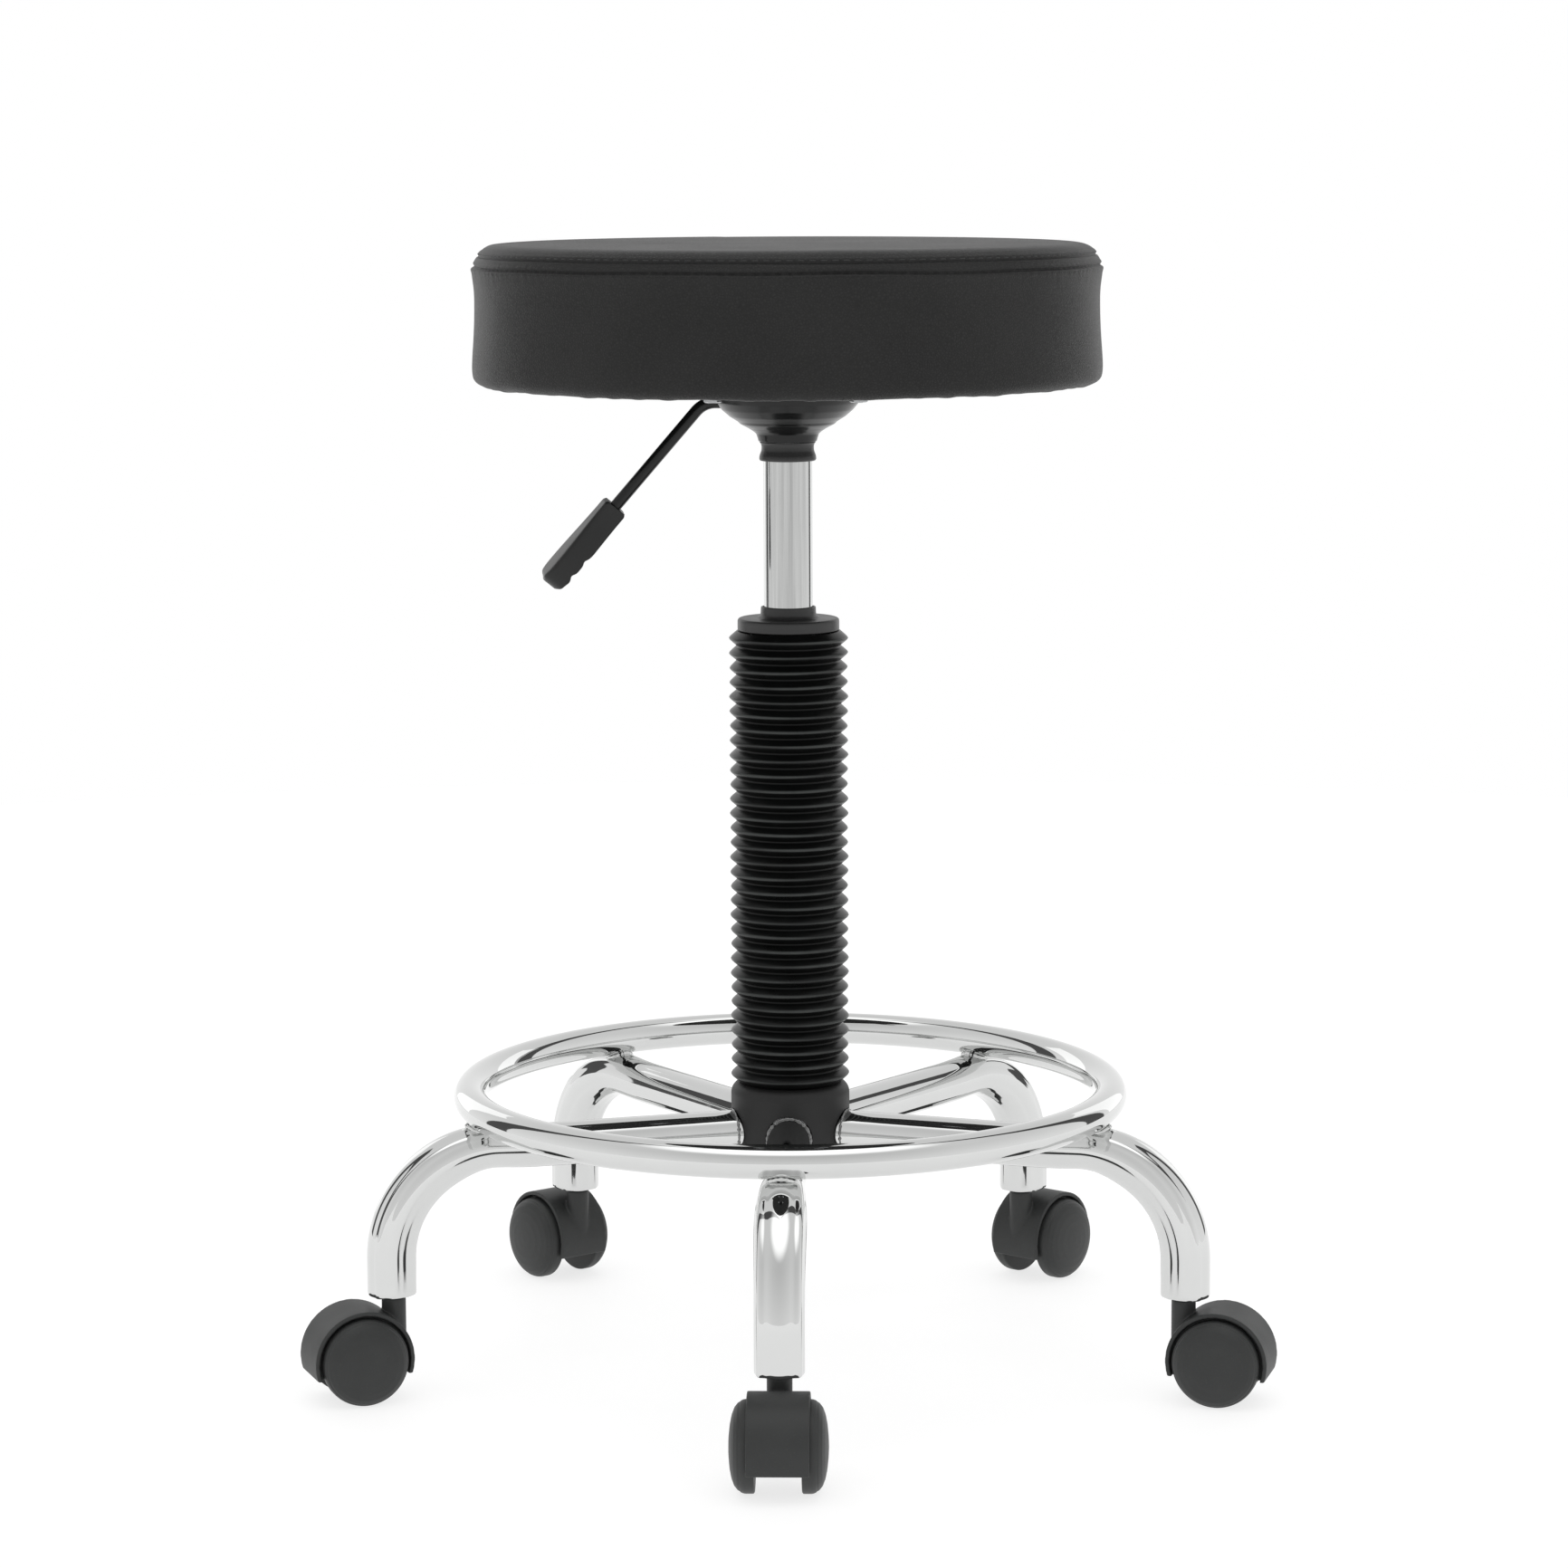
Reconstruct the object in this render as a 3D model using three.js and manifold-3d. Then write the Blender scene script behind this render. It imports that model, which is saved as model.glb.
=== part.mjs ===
// Adjustable swivel stool: round padded seat on a gas lift with a pleated boot, five bent-tube legs,
// a foot ring and five twin-wheel casters. Millimetres, +Z up, origin on the floor under the column
// axis. The front leg points along -Y and the height lever along -X.
import * as THREE from 'three';
import { mergeVertices } from 'three/addons/utils/BufferGeometryUtils.js';
import Module from 'manifold-3d';

const wasm = await Module();
wasm.setup();

// ---------------------------------------------------------------- driving dimensions
// Clearances
const touchGap = 0.3; // left between two pieces that rest on each other or are pressed together
const slideGap = 0.4; // left around a piece that turns or slides inside another
const looseGap = 1.0; // left around a piece that only passes through a cut-out

// Casters
const legCount = 5;
const wheelRadius = 25;
const wheelInnerFace = 12.6; // from the caster's middle plane to a wheel's inner face
const wheelTreadWidth = 5.4;
const wheelDomeHeight = 8.8;
const casterTrail = 22; // from the swivel axis to the axle
const hoodGap = 2.0; // between tread and hood
const hoodWall = 2.2;
const hoodHalfWidth = 16.9;
const hoodSkirt = 9; // how far the hood reaches below the axle
const webHalfWidth = 12.1;
const webWall = 2.6;
const neckWall = 1.1;
const neckHeight = 3.4; // from the hood's crown to the top of the neck
const axleRadius = 3;
const axleGrip = 9; // how far the axle enters each wheel
const stemRadius = 5.5;
const stemAboveNeck = 21;
const stemInNeck = 18;
const stemGroove = 0.8;
const stemGrooveWidth = 2;
const stemTip = 4; // above the groove
const casterTurn = [0, 3, -1, 3, 5]; // degrees that each caster is turned from trailing straight out

// Star base
const legTubeRadius = 12.5;
const legTubeWall = 1.5;
const legEndRadius = 237.4; // column axis to swivel axis
const legDrop = 81; // from the level run's axis to the leg's open end
const legBendRadius = 60;
const socketLipWidth = 1.1; // around the socket's bore
const socketLip = 1.3;
const socketDepth = 23;
const hubWall = 4;
const hubAboveLeg = 24.5;
const hubBelowLeg = 19;
const coverGap = 3.2; // between the hub and its cover
const coverWall = 2;
const coverShoulder = 5;
const coverAboveLeg = 28.5;
const coverBelowLeg = 16.5;
const ringTubeRadius = 9.5;
const ringPastBend = 9.1; // from the start of the legs' bend out to the ring

// Gas lift
const columnRadius = 25;
const columnWall = 1.6;
const columnTaper = 1.4; // how much thinner the column is at its lower end
const columnFloor = 5;
const guideReach = 74.5; // from the raised cylinder's lower end to the column's rim
const bushChamfer = 3;
const bushLength = 68;
const bushFlange = 4;
const cylinderRadius = 14;
const cylinderWall = 1.5;
const cylinderEnd = 12; // thickness of the rod guide and of the valve block
const liftStroke = 140;
const rodRadius = 5;
const rodNeckRadius = 4;
const rodBelowColumn = 3.6;
const pistonLength = 16;
const bearingRadius = 11;
const bearingHeight = 6.6;
const bufferRadius = 14;
const bufferHeight = 13;
const bufferClear = 4.3; // left between the buffer and the cylinder at its lowest
const clipRadius = 9;
const clipHeight = 2.4;

// Pleated boot and its cap
const pleatPitch = 8.5;
const pleatDepth = 3.6;
const bootGap = 3.6; // between the column and the boot
const bootWall = 2;
const bootShare = 0.42; // how far the cap travels for each millimetre of the seat's lift
const capClear = 2.8; // left above and below the cap at the seat's lowest
const capInset = 1.4; // how much smaller the cap's flange is than the pleats' roots
const capFlangeHeight = 7;
const capNeckWall = 1.3;
const capNeckHeight = 6.6;
const capRound = 1.5;

// Seat plate and height lever
const collarHeight = 10.6;
const collarWall = 1.2;
const collarFlare = 1;
const bowlHeight = 29.9; // from the top of the collar to the flange
const bowlRadius = 44;
const bowlWall = 2.5;
const bowlThroat = 3; // width and height of the bowl's narrow foot
const bowlRim = 6; // the bowl's steep last stretch under the flange
const boltInset = 14; // from the bowl to a bolt, and from a bolt to the flange's edge
const flangeThickness = 2.8;
const plateSocketWall = 2.6;
const plateSocketHeight = 12;
const boltCount = 4;
const boltRadius = 3;
const boltHeadRadius = 5;
const boltHeadHeight = 4.2;
const boltLength = 13;
const pinRadius = 4;
const pinLength = 14;
const pinProud = 9; // how far the release pin stands out of the cylinder
const leverRadius = 3.6;
const leverPastAxis = 5; // how far the lever's inner end reaches past the column axis
const leverPastBowl = 4; // from the bowl's rim to the lever's bend
const leverBendRadius = 9;
const leverAngle = 40.7; // degrees between the lever's outer run and the vertical
const leverRun = 78.3; // from the bend to the handle
const leverGrip = 22; // how far the rod enters the handle
const handleLength = 59;
const handleThickness = 15;
const handleWidth = 20;
const handleRound = 4.1; // how far the paddle's corners are cut back
const handleGrooveDepth = 1.6;
const handleGrooves = [35, 45.5]; // from the handle's root to each finger groove

// Seat
const seatRadius = 179.4;
const seatThickness = 80;
const seatWaist = 2.2; // how much the side draws in above the middle
const seatBulgeHeight = 18; // from the bottom to the side's fullest level
const seatWaistHeight = 51;
const seatShoulder = 0.6; // how much the side fills out again at the top edge
const seatBottomRound = 8;
const seatTopRound = 9;
const coverSkin = 1.2;
const hemWidth = 29.4; // how far the cover wraps in under the board
const boardInset = 11.4; // from the seat's side to the board's edge
const boardThickness = 12;
const dustCoverThickness = 0.9;

// Facets
const weldTolerance = 1e-5;
const fineSides = 32;
const coverSides = 30;
const columnSides = 20;
const bootSides = 14;
const wheelSides = 16;
const legSides = 12;
const legBoreSides = 8;
const smallSides = 10;
const leverSides = 8;
const ringSections = 50;
const legBendSteps = 5;
const leverBendSteps = 3;
const roundSteps = 3; // on a rounded edge
const capRoundSteps = 2;
const domeDegrees = [0, 34, 62]; // where a wheel's dome has its rings, up from its rim
const bowlDegrees = [20, 50, 75]; // where the bowl has its rings, up from its foot

// ---------------------------------------------------------------- radii that follow from them
/** The radius of a faceted bore that clears a round shaft of the given radius at any turn. */
const boreAround = (radius, gap, sides) => (radius + gap) / Math.cos(Math.PI / sides);
const hoodInner = wheelRadius + hoodGap;
const hoodOuter = hoodInner + hoodWall;
const neckRadius = stemRadius + touchGap + neckWall;
const socketBore = boreAround(stemRadius, slideGap, smallSides);
const hubRadius = columnRadius + touchGap + hubWall;
const coverRadius = hubRadius + coverGap + coverWall;
const ringRadius = legEndRadius - legBendRadius + ringPastBend;
const runningBore = boreAround(cylinderRadius, slideGap, columnSides);
const bootBore = columnRadius + bootGap;
const pleatRootRadius = bootBore + bootWall;
const pleatTipRadius = pleatRootRadius + pleatDepth;
const capFlangeRadius = pleatRootRadius - capInset;
const boltCircleRadius = bowlRadius + boltInset;
const flangeRadius = boltCircleRadius + boltInset;
const leverReach = bowlRadius + leverPastBowl;
const hemRadius = seatRadius - hemWidth;
const boardRadius = seatRadius - boardInset;

// ---------------------------------------------------------------- levels, from the floor up
const axleZ = wheelRadius;
const neckTopZ = axleZ + hoodOuter + neckHeight;
const legEndZ = neckTopZ + touchGap + socketLip + touchGap;
const legAxisZ = legEndZ + legDrop;
const ringZ = legAxisZ + legTubeRadius + ringTubeRadius + touchGap;
const hubBottomZ = legAxisZ - hubBelowLeg;
const hubTopZ = legAxisZ + hubAboveLeg;
const coverTopZ = legAxisZ + coverAboveLeg;
const coverBottomZ = legAxisZ - coverBelowLeg;
const columnBottomZ = hubBottomZ;
const columnFloorZ = columnBottomZ + columnFloor;
const bearingZ = columnFloorZ + touchGap;
const bufferZ = bearingZ + bearingHeight + touchGap;
const cylinderBottomZ = bufferZ + bufferHeight + bufferClear + liftStroke;
const columnTopZ = cylinderBottomZ + guideReach;
const bushTopZ = columnTopZ + touchGap + bushFlange;
const bootBottomZ = coverTopZ + touchGap;
const pleatCount = Math.ceil((bushTopZ + capClear + bootShare * liftStroke - bootBottomZ) / pleatPitch);
const bootTopZ = bootBottomZ + pleatCount * pleatPitch;
const capBottomZ = bootTopZ + touchGap;
const capTopZ = capBottomZ + capFlangeHeight + capNeckHeight;
const collarBottomZ = capTopZ + (1 - bootShare) * liftStroke + capClear;
const collarTopZ = collarBottomZ + collarHeight;
const bowlBottomZ = collarTopZ + touchGap;
const flangeBottomZ = bowlBottomZ + bowlHeight;
const flangeTopZ = flangeBottomZ + flangeThickness;
const seatBottomZ = flangeTopZ + touchGap;
const seatTopZ = seatBottomZ + seatThickness;
const boardBottomZ = seatBottomZ + coverSkin + touchGap;
const boardTopZ = boardBottomZ + boardThickness;
const cylinderTopZ = bowlBottomZ + plateSocketHeight - plateSocketWall;
const leverZ = cylinderTopZ + pinProud + touchGap + leverRadius;
const pistonZ = cylinderBottomZ + cylinderEnd + 2 * slideGap;

// ---------------------------------------------------------------- materials
const finish = (color, roughness, metalness) =>
  new THREE.MeshStandardMaterial({ color, roughness, metalness });
const finishes = {
  chrome: () => finish(0xe8e9ea, 0.08, 1),
  steel: () => finish(0xb9bcbe, 0.35, 1),
  blackSteel: () => finish(0x232524, 0.25, 0.6),
  blackPlastic: () => finish(0x393b3a, 0.5, 0),
  casterPlastic: () => finish(0x3f4140, 0.55, 0),
  rubber: () => finish(0x141615, 0.7, 0),
  leather: () => finish(0x30302f, 0.5, 0),
  plywood: () => finish(0xb48a5a, 0.7, 0),
  foam: () => finish(0xd9cfa6, 0.9, 0),
  fabric: () => finish(0x1d1d1d, 0.95, 0),
};

// ---------------------------------------------------------------- helpers
const model = new THREE.Group();

/** Adds one named piece to a parent and returns its mesh. */
function addPiece(parent, name, geometry, material) {
  const mesh = new THREE.Mesh(geometry, material());
  mesh.name = name;
  parent.add(mesh);
  return mesh;
}

/** A body turned about Z from [radius, z] points that end on the axis or close on themselves. */
function turned(points, sides = columnSides) {
  const profile = points.map(([radius, z]) => new THREE.Vector2(radius, z));
  return new THREE.LatheGeometry(profile, sides).rotateX(Math.PI / 2);
}

/** A sleeve or a washer about Z. */
function sleeve(inner, outer, bottom, top, sides = columnSides) {
  return turned([[inner, bottom], [outer, bottom], [outer, top], [inner, top], [inner, bottom]], sides);
}

/** A round bar along Z. */
function bar(radius, bottom, top, sides = columnSides) {
  return turned([[0, bottom], [radius, bottom], [radius, top], [0, top]], sides);
}

/** [radius, z] points on a round corner, from one angle in degrees to another. */
function corner(centreRadius, centreZ, round, from, to, steps) {
  return Array.from({ length: steps + 1 }, (_, i) => {
    const angle = THREE.MathUtils.degToRad(from + ((to - from) * i) / steps);
    return [centreRadius + round * Math.cos(angle), centreZ + round * Math.sin(angle)];
  });
}

/** A closed geometry as a solid for joining and cutting. */
function toSolid(geometry) {
  const bare = geometry.clone();
  bare.deleteAttribute('normal');
  bare.deleteAttribute('uv');
  const merged = mergeVertices(bare, weldTolerance);
  return new wasm.Manifold(new wasm.Mesh({
    numProp: 3,
    vertProperties: new Float32Array(merged.attributes.position.array),
    triVerts: new Uint32Array(merged.index.array),
  }));
}

/** A solid back as a geometry. */
function toGeometry(solid) {
  const { vertProperties, triVerts } = solid.getMesh();
  const geometry = new THREE.BufferGeometry();
  geometry.setAttribute('position', new THREE.BufferAttribute(vertProperties, 3));
  geometry.setIndex(new THREE.BufferAttribute(triVerts, 1));
  geometry.computeVertexNormals();
  return geometry;
}

/** The first geometry with the others cut away. */
const cut = (first, ...others) =>
  toGeometry(others.reduce((rest, one) => rest.subtract(toSolid(one)), toSolid(first)));

/** A box from its low and high corners. */
function block(low, high) {
  const size = high.map((value, i) => value - low[i]);
  return new THREE.BoxGeometry(...size).translate(...low.map((value, i) => value + size[i] / 2));
}

/** A route of straight runs and bends that is sampled only at its own knots. */
class Route extends THREE.Curve {
  constructor(knots) {
    super();
    this.knots = knots;
  }

  get steps() {
    return this.knots.length - 1;
  }

  getPointAt(share, target = new THREE.Vector3()) {
    return target.copy(this.knots[Math.round(share * this.steps)].point);
  }

  getTangentAt(share, target = new THREE.Vector3()) {
    return target.copy(this.knots[Math.round(share * this.steps)].tangent);
  }
}

/** The knots of a bend in the XZ plane: its centre, radius and the angles in degrees it runs between. */
function bend(centreX, centreZ, radius, from, to, steps) {
  const turn = Math.sign(to - from);
  return Array.from({ length: steps + 1 }, (_, i) => {
    const angle = THREE.MathUtils.degToRad(from + ((to - from) * i) / steps);
    const outward = new THREE.Vector3(Math.cos(angle), 0, Math.sin(angle));
    return {
      point: new THREE.Vector3(centreX, 0, centreZ).addScaledVector(outward, radius),
      tangent: new THREE.Vector3(-Math.sin(angle) * turn, 0, Math.cos(angle) * turn),
    };
  });
}

/** The knots of a route that bends once, with a straight run before and after. */
function bentRoute(startX, startZ, knots, runAfter) {
  const first = { point: new THREE.Vector3(startX, 0, startZ), tangent: knots[0].tangent };
  const end = knots.at(-1);
  const last = { point: end.point.clone().addScaledVector(end.tangent, runAfter), tangent: end.tangent };
  return new Route([first, ...knots, last]);
}

/** A round section, hollow when a bore is given, swept along a route. */
function swept(route, radius, sides, bore = 0, boreSides = sides) {
  const circle = (r, count) => Array.from({ length: count }, (_, i) => {
    const angle = (2 * Math.PI * (i + 0.5)) / count;
    return new THREE.Vector2(r * Math.cos(angle), r * Math.sin(angle));
  });
  const section = new THREE.Shape(circle(radius, sides));
  if (bore > 0) section.holes.push(new THREE.Path(circle(bore, boreSides)));
  return new THREE.ExtrudeGeometry(section, { steps: route.steps, extrudePath: route });
}

// ---------------------------------------------------------------- casters
/** A wheel about Y with its dome outward; the flats of its facets lie at the wheel's true radius. */
function wheelGeometry() {
  const tread = wheelRadius / Math.cos(Math.PI / wheelSides);
  const rimY = wheelInnerFace + wheelTreadWidth;
  const bore = boreAround(axleRadius, slideGap, wheelSides);
  const boreEnd = wheelInnerFace + axleGrip + slideGap;
  const dome = domeDegrees.map((degrees) => {
    const angle = THREE.MathUtils.degToRad(degrees);
    return [tread * Math.cos(angle), rimY + wheelDomeHeight * Math.sin(angle)];
  });
  const profile = [
    [0, boreEnd], [bore, boreEnd], [bore, wheelInnerFace], [tread, wheelInnerFace], ...dome,
    [0, rimY + wheelDomeHeight],
  ].map(([radius, y]) => new THREE.Vector2(radius, y));
  return new THREE.LatheGeometry(profile, wheelSides, Math.PI / wheelSides);
}

/** A bar about Y that lies at the axle. */
const acrossAxle = (radius, low, high, sides) =>
  new THREE.CylinderGeometry(radius, radius, high - low, sides)
    .translate(casterTrail, (low + high) / 2, axleZ);

/** The hooded body between the wheels, with the neck that takes the stem. */
function housingGeometry() {
  const skirtZ = axleZ - hoodSkirt;
  const far = hoodOuter + hoodWall;
  const hood = toSolid(acrossAxle(hoodOuter, -hoodHalfWidth, hoodHalfWidth, columnSides))
    .subtract(toSolid(block([casterTrail - far, -far, skirtZ - far], [casterTrail + far, far, skirtZ])));
  const pockets = [1, -1].map((side) => {
    const ends = [side * webHalfWidth, side * (hoodHalfWidth + looseGap)].sort((a, b) => a - b);
    return toSolid(acrossAxle(hoodInner, ends[0], ends[1], columnSides));
  });
  const hollowEnd = webHalfWidth - webWall;
  const inside = toSolid(acrossAxle(hoodInner - hoodWall, -hollowEnd, hollowEnd, columnSides));
  const boss = toSolid(bar(neckRadius, axleZ + hoodSkirt, neckTopZ, smallSides));
  const stemHoleBottom = neckTopZ - stemInNeck - touchGap;
  const stemHole = toSolid(bar(stemRadius + touchGap, stemHoleBottom, neckTopZ + looseGap, smallSides));
  const axleHole = toSolid(acrossAxle(axleRadius + touchGap, -far, far, smallSides));
  const shell = pockets.reduce((rest, pocket) => rest.subtract(pocket), hood.subtract(inside));
  return toGeometry(shell.add(boss).subtract(stemHole).subtract(axleHole));
}

/** The steel stem, with the groove that its grip ring sits in. */
function stemGeometry() {
  const bottom = neckTopZ - stemInNeck;
  const top = neckTopZ + stemAboveNeck;
  const grooveTop = top - stemTip;
  const grooveBottom = grooveTop - stemGrooveWidth;
  return turned([
    [0, bottom], [stemRadius, bottom], [stemRadius, grooveBottom], [stemRadius - stemGroove, grooveBottom],
    [stemRadius - stemGroove, grooveTop], [stemRadius, grooveTop], [stemRadius, top], [0, top],
  ], smallSides);
}

/** One caster under a leg's end: stem, housing, axle and two wheels. */
function addCaster(parent, number, turnDegrees) {
  const caster = new THREE.Group();
  caster.position.x = legEndRadius;
  caster.rotation.z = THREE.MathUtils.degToRad(turnDegrees);
  parent.add(caster);
  addPiece(caster, `caster_stem_${number}`, stemGeometry(), finishes.steel);
  addPiece(caster, `caster_housing_${number}`, housingGeometry(), finishes.casterPlastic);
  const axleEnd = wheelInnerFace + axleGrip;
  const axle = acrossAxle(axleRadius, -axleEnd, axleEnd, smallSides);
  addPiece(caster, `caster_axle_${number}`, axle, finishes.steel);
  for (const [side, turn] of [['left', 0], ['right', Math.PI]]) {
    const wheel = addPiece(caster, `wheel_${number}_${side}`, wheelGeometry(), finishes.casterPlastic);
    wheel.position.set(casterTrail, 0, axleZ);
    wheel.rotation.z = turn;
  }
}

// ---------------------------------------------------------------- star base
/** A bent steel tube from the hub out and down to its caster, its inner end cut to fit the hub. */
function legGeometry() {
  const centreX = legEndRadius - legBendRadius;
  const centreZ = legAxisZ - legBendRadius;
  const knots = bend(centreX, centreZ, legBendRadius, 90, 0, legBendSteps);
  const route = bentRoute(hubRadius / 2, legAxisZ, knots, legDrop - legBendRadius);
  const tube = swept(route, legTubeRadius, legSides, legTubeRadius - legTubeWall, legBoreSides);
  return cut(tube, bar(hubRadius + touchGap, hubBottomZ, hubTopZ));
}

/** The steel insert pressed into a leg's open end, which the caster's stem turns in. */
function socketGeometry() {
  const bore = socketBore;
  const lip = socketBore + socketLipWidth;
  const outer = (legTubeRadius - legTubeWall) * Math.cos(Math.PI / legBoreSides) - touchGap;
  const lipBottom = legEndZ - touchGap - socketLip;
  return turned([
    [bore, lipBottom], [lip, lipBottom], [lip, legEndZ], [outer, legEndZ],
    [outer, legEndZ + socketDepth], [bore, legEndZ + socketDepth], [bore, lipBottom],
  ], smallSides);
}

/** The steel hub that the legs are welded to, with a tapered bore for the column. */
function hubGeometry() {
  return turned([
    [columnRadius - columnTaper + touchGap, hubBottomZ], [hubRadius, hubBottomZ], [hubRadius, hubTopZ],
    [columnRadius + touchGap, hubTopZ], [columnRadius - columnTaper + touchGap, hubBottomZ],
  ]);
}

/** The plastic hub cover, with an arch over each leg. */
function hubCoverGeometry() {
  const inner = coverRadius - coverWall;
  const hole = columnRadius + looseGap / 2;
  const rounded = (radius, top, round) => corner(radius - round, top - round, round, 0, 90, roundSteps);
  const shell = turned([
    [inner, coverBottomZ], [coverRadius, coverBottomZ], ...rounded(coverRadius, coverTopZ, coverShoulder),
    [hole, coverTopZ], [hole, coverTopZ - coverWall],
    ...rounded(inner, coverTopZ - coverWall, coverShoulder - coverWall).reverse(), [inner, coverBottomZ],
  ], coverSides);
  const archRadius = legTubeRadius + looseGap;
  const arches = legAngles().flatMap((angle) => {
    const reach = coverRadius + looseGap;
    const round = new THREE.CylinderGeometry(archRadius, archRadius, reach, legSides).rotateZ(Math.PI / 2)
      .translate(reach / 2, 0, legAxisZ);
    const below = block([0, -archRadius, coverBottomZ - looseGap], [reach, archRadius, legAxisZ]);
    return [round.rotateZ(angle), below.rotateZ(angle)];
  });
  return cut(shell, ...arches);
}

/** The direction of each leg about Z; the first one points along -Y. */
function legAngles() {
  return Array.from({ length: legCount }, (_, i) => -Math.PI / 2 + (2 * Math.PI * i) / legCount);
}

/** The foot ring, which lies on the legs. */
function ringGeometry() {
  return new THREE.TorusGeometry(ringRadius, ringTubeRadius, smallSides, ringSections);
}

function addBase() {
  addPiece(model, 'hub_tube', hubGeometry(), finishes.steel);
  addPiece(model, 'hub_cover', hubCoverGeometry(), finishes.blackPlastic);
  const ring = addPiece(model, 'foot_ring', ringGeometry(), finishes.chrome);
  ring.position.z = ringZ;
  legAngles().forEach((angle, i) => {
    const arm = new THREE.Group();
    arm.rotation.z = angle;
    model.add(arm);
    addPiece(arm, `leg_${i + 1}`, legGeometry(), finishes.chrome);
    const socket = addPiece(arm, `stem_socket_${i + 1}`, socketGeometry(), finishes.steel);
    socket.position.x = legEndRadius;
    addCaster(arm, i + 1, casterTurn[i]);
  });
}

// ---------------------------------------------------------------- gas lift
/** The outer column, tapered where it sits in the hub, with a floor that carries the piston rod. */
function columnGeometry() {
  const inner = columnRadius - columnTaper - columnWall;
  const hole = boreAround(rodNeckRadius, slideGap, columnSides);
  return turned([
    [hole, columnBottomZ], [columnRadius - columnTaper, columnBottomZ], [columnRadius, hubTopZ],
    [columnRadius, columnTopZ], [columnRadius - columnWall, columnTopZ],
    [columnRadius - columnWall, hubTopZ],
    [inner, columnFloorZ], [hole, columnFloorZ], [hole, columnBottomZ],
  ]);
}

/** The plastic bush in the column's mouth that guides the cylinder, with a flange over the rim. */
function bushGeometry() {
  const outer = columnRadius - columnWall - touchGap;
  const rimZ = columnTopZ + touchGap;
  const bottom = columnTopZ - bushLength;
  return turned([
    [runningBore, bottom], [outer - bushChamfer, bottom], [outer, bottom + bushChamfer], [outer, rimZ],
    [columnRadius, rimZ], [columnRadius, bushTopZ], [runningBore, bushTopZ], [runningBore, bottom],
  ]);
}

/** The piston rod: piston at the top, a thinner neck through the bearing and the column's floor. */
function pistonRodGeometry() {
  const bottomZ = columnBottomZ - rodBelowColumn;
  const shoulderZ = bearingZ + bearingHeight + touchGap;
  const topZ = pistonZ + pistonLength;
  const piston = cylinderRadius - cylinderWall - touchGap;
  return turned([
    [0, bottomZ], [rodNeckRadius, bottomZ], [rodNeckRadius, shoulderZ], [rodRadius, shoulderZ],
    [rodRadius, pistonZ], [piston, pistonZ], [piston, topZ], [0, topZ],
  ]);
}

/** The chromed gas cylinder: rod guide at the bottom, valve hole at the top. */
function cylinderGeometry() {
  const inner = cylinderRadius - cylinderWall;
  const rodHole = rodRadius + touchGap;
  const pinHole = boreAround(pinRadius, touchGap, columnSides);
  return turned([
    [rodHole, cylinderBottomZ], [cylinderRadius, cylinderBottomZ], [cylinderRadius, cylinderTopZ],
    [pinHole, cylinderTopZ], [pinHole, cylinderTopZ - cylinderEnd], [inner, cylinderTopZ - cylinderEnd],
    [inner, cylinderBottomZ + cylinderEnd], [rodHole, cylinderBottomZ + cylinderEnd],
    [rodHole, cylinderBottomZ],
  ]);
}

/** The pleated boot around the column. */
function bootGeometry() {
  const pleats = Array.from({ length: pleatCount }, (_, i) => [
    [pleatTipRadius, bootBottomZ + (i + 0.5) * pleatPitch],
    [pleatRootRadius, bootBottomZ + (i + 1) * pleatPitch],
  ]).flat();
  return turned([
    [bootBore, bootBottomZ], [pleatRootRadius, bootBottomZ], ...pleats, [bootBore, bootTopZ],
    [bootBore, bootBottomZ],
  ], bootSides);
}

/** The boot's cap, which slides on the cylinder. */
function capGeometry() {
  const flangeTop = capBottomZ + capFlangeHeight;
  const neck = runningBore + capNeckWall;
  return turned([
    [runningBore, capBottomZ], [capFlangeRadius, capBottomZ],
    ...corner(capFlangeRadius - capRound, flangeTop - capRound, capRound, 0, 90, capRoundSteps),
    [neck, flangeTop], [neck, capTopZ], [runningBore, capTopZ], [runningBore, capBottomZ],
  ]);
}

function addGasLift() {
  const rodBore = boreAround(rodNeckRadius, slideGap, columnSides);
  const bufferBore = boreAround(rodRadius, slideGap, columnSides);
  const clipTop = columnBottomZ - touchGap;
  const bearing = sleeve(rodBore, bearingRadius, bearingZ, bearingZ + bearingHeight);
  const buffer = sleeve(bufferBore, bufferRadius, bufferZ, bufferZ + bufferHeight);
  addPiece(model, 'outer_column', columnGeometry(), finishes.blackSteel);
  addPiece(model, 'guide_bush', bushGeometry(), finishes.blackPlastic);
  addPiece(model, 'thrust_bearing', bearing, finishes.steel);
  addPiece(model, 'rubber_buffer', buffer, finishes.rubber);
  addPiece(model, 'piston_rod', pistonRodGeometry(), finishes.steel);
  const clip = sleeve(rodNeckRadius + touchGap, clipRadius, clipTop - clipHeight, clipTop);
  addPiece(model, 'retaining_clip', clip, finishes.steel);
  addPiece(model, 'gas_cylinder', cylinderGeometry(), finishes.chrome);
  addPiece(model, 'bellows', bootGeometry(), finishes.rubber);
  addPiece(model, 'bellows_cap', capGeometry(), finishes.blackPlastic);
}

// ---------------------------------------------------------------- seat plate and lever
/** Where bolts pass: a hole along Z at each place of the bolt circle. */
function boltPlaces() {
  return Array.from({ length: boltCount }, (_, i) => {
    const angle = Math.PI / boltCount + (2 * Math.PI * i) / boltCount;
    return [boltCircleRadius * Math.cos(angle), boltCircleRadius * Math.sin(angle)];
  });
}

const boltHoles = (bottom, top) =>
  boltPlaces().map(([x, y]) => bar(boltRadius + touchGap, bottom, top, smallSides).translate(x, y, 0));

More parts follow.
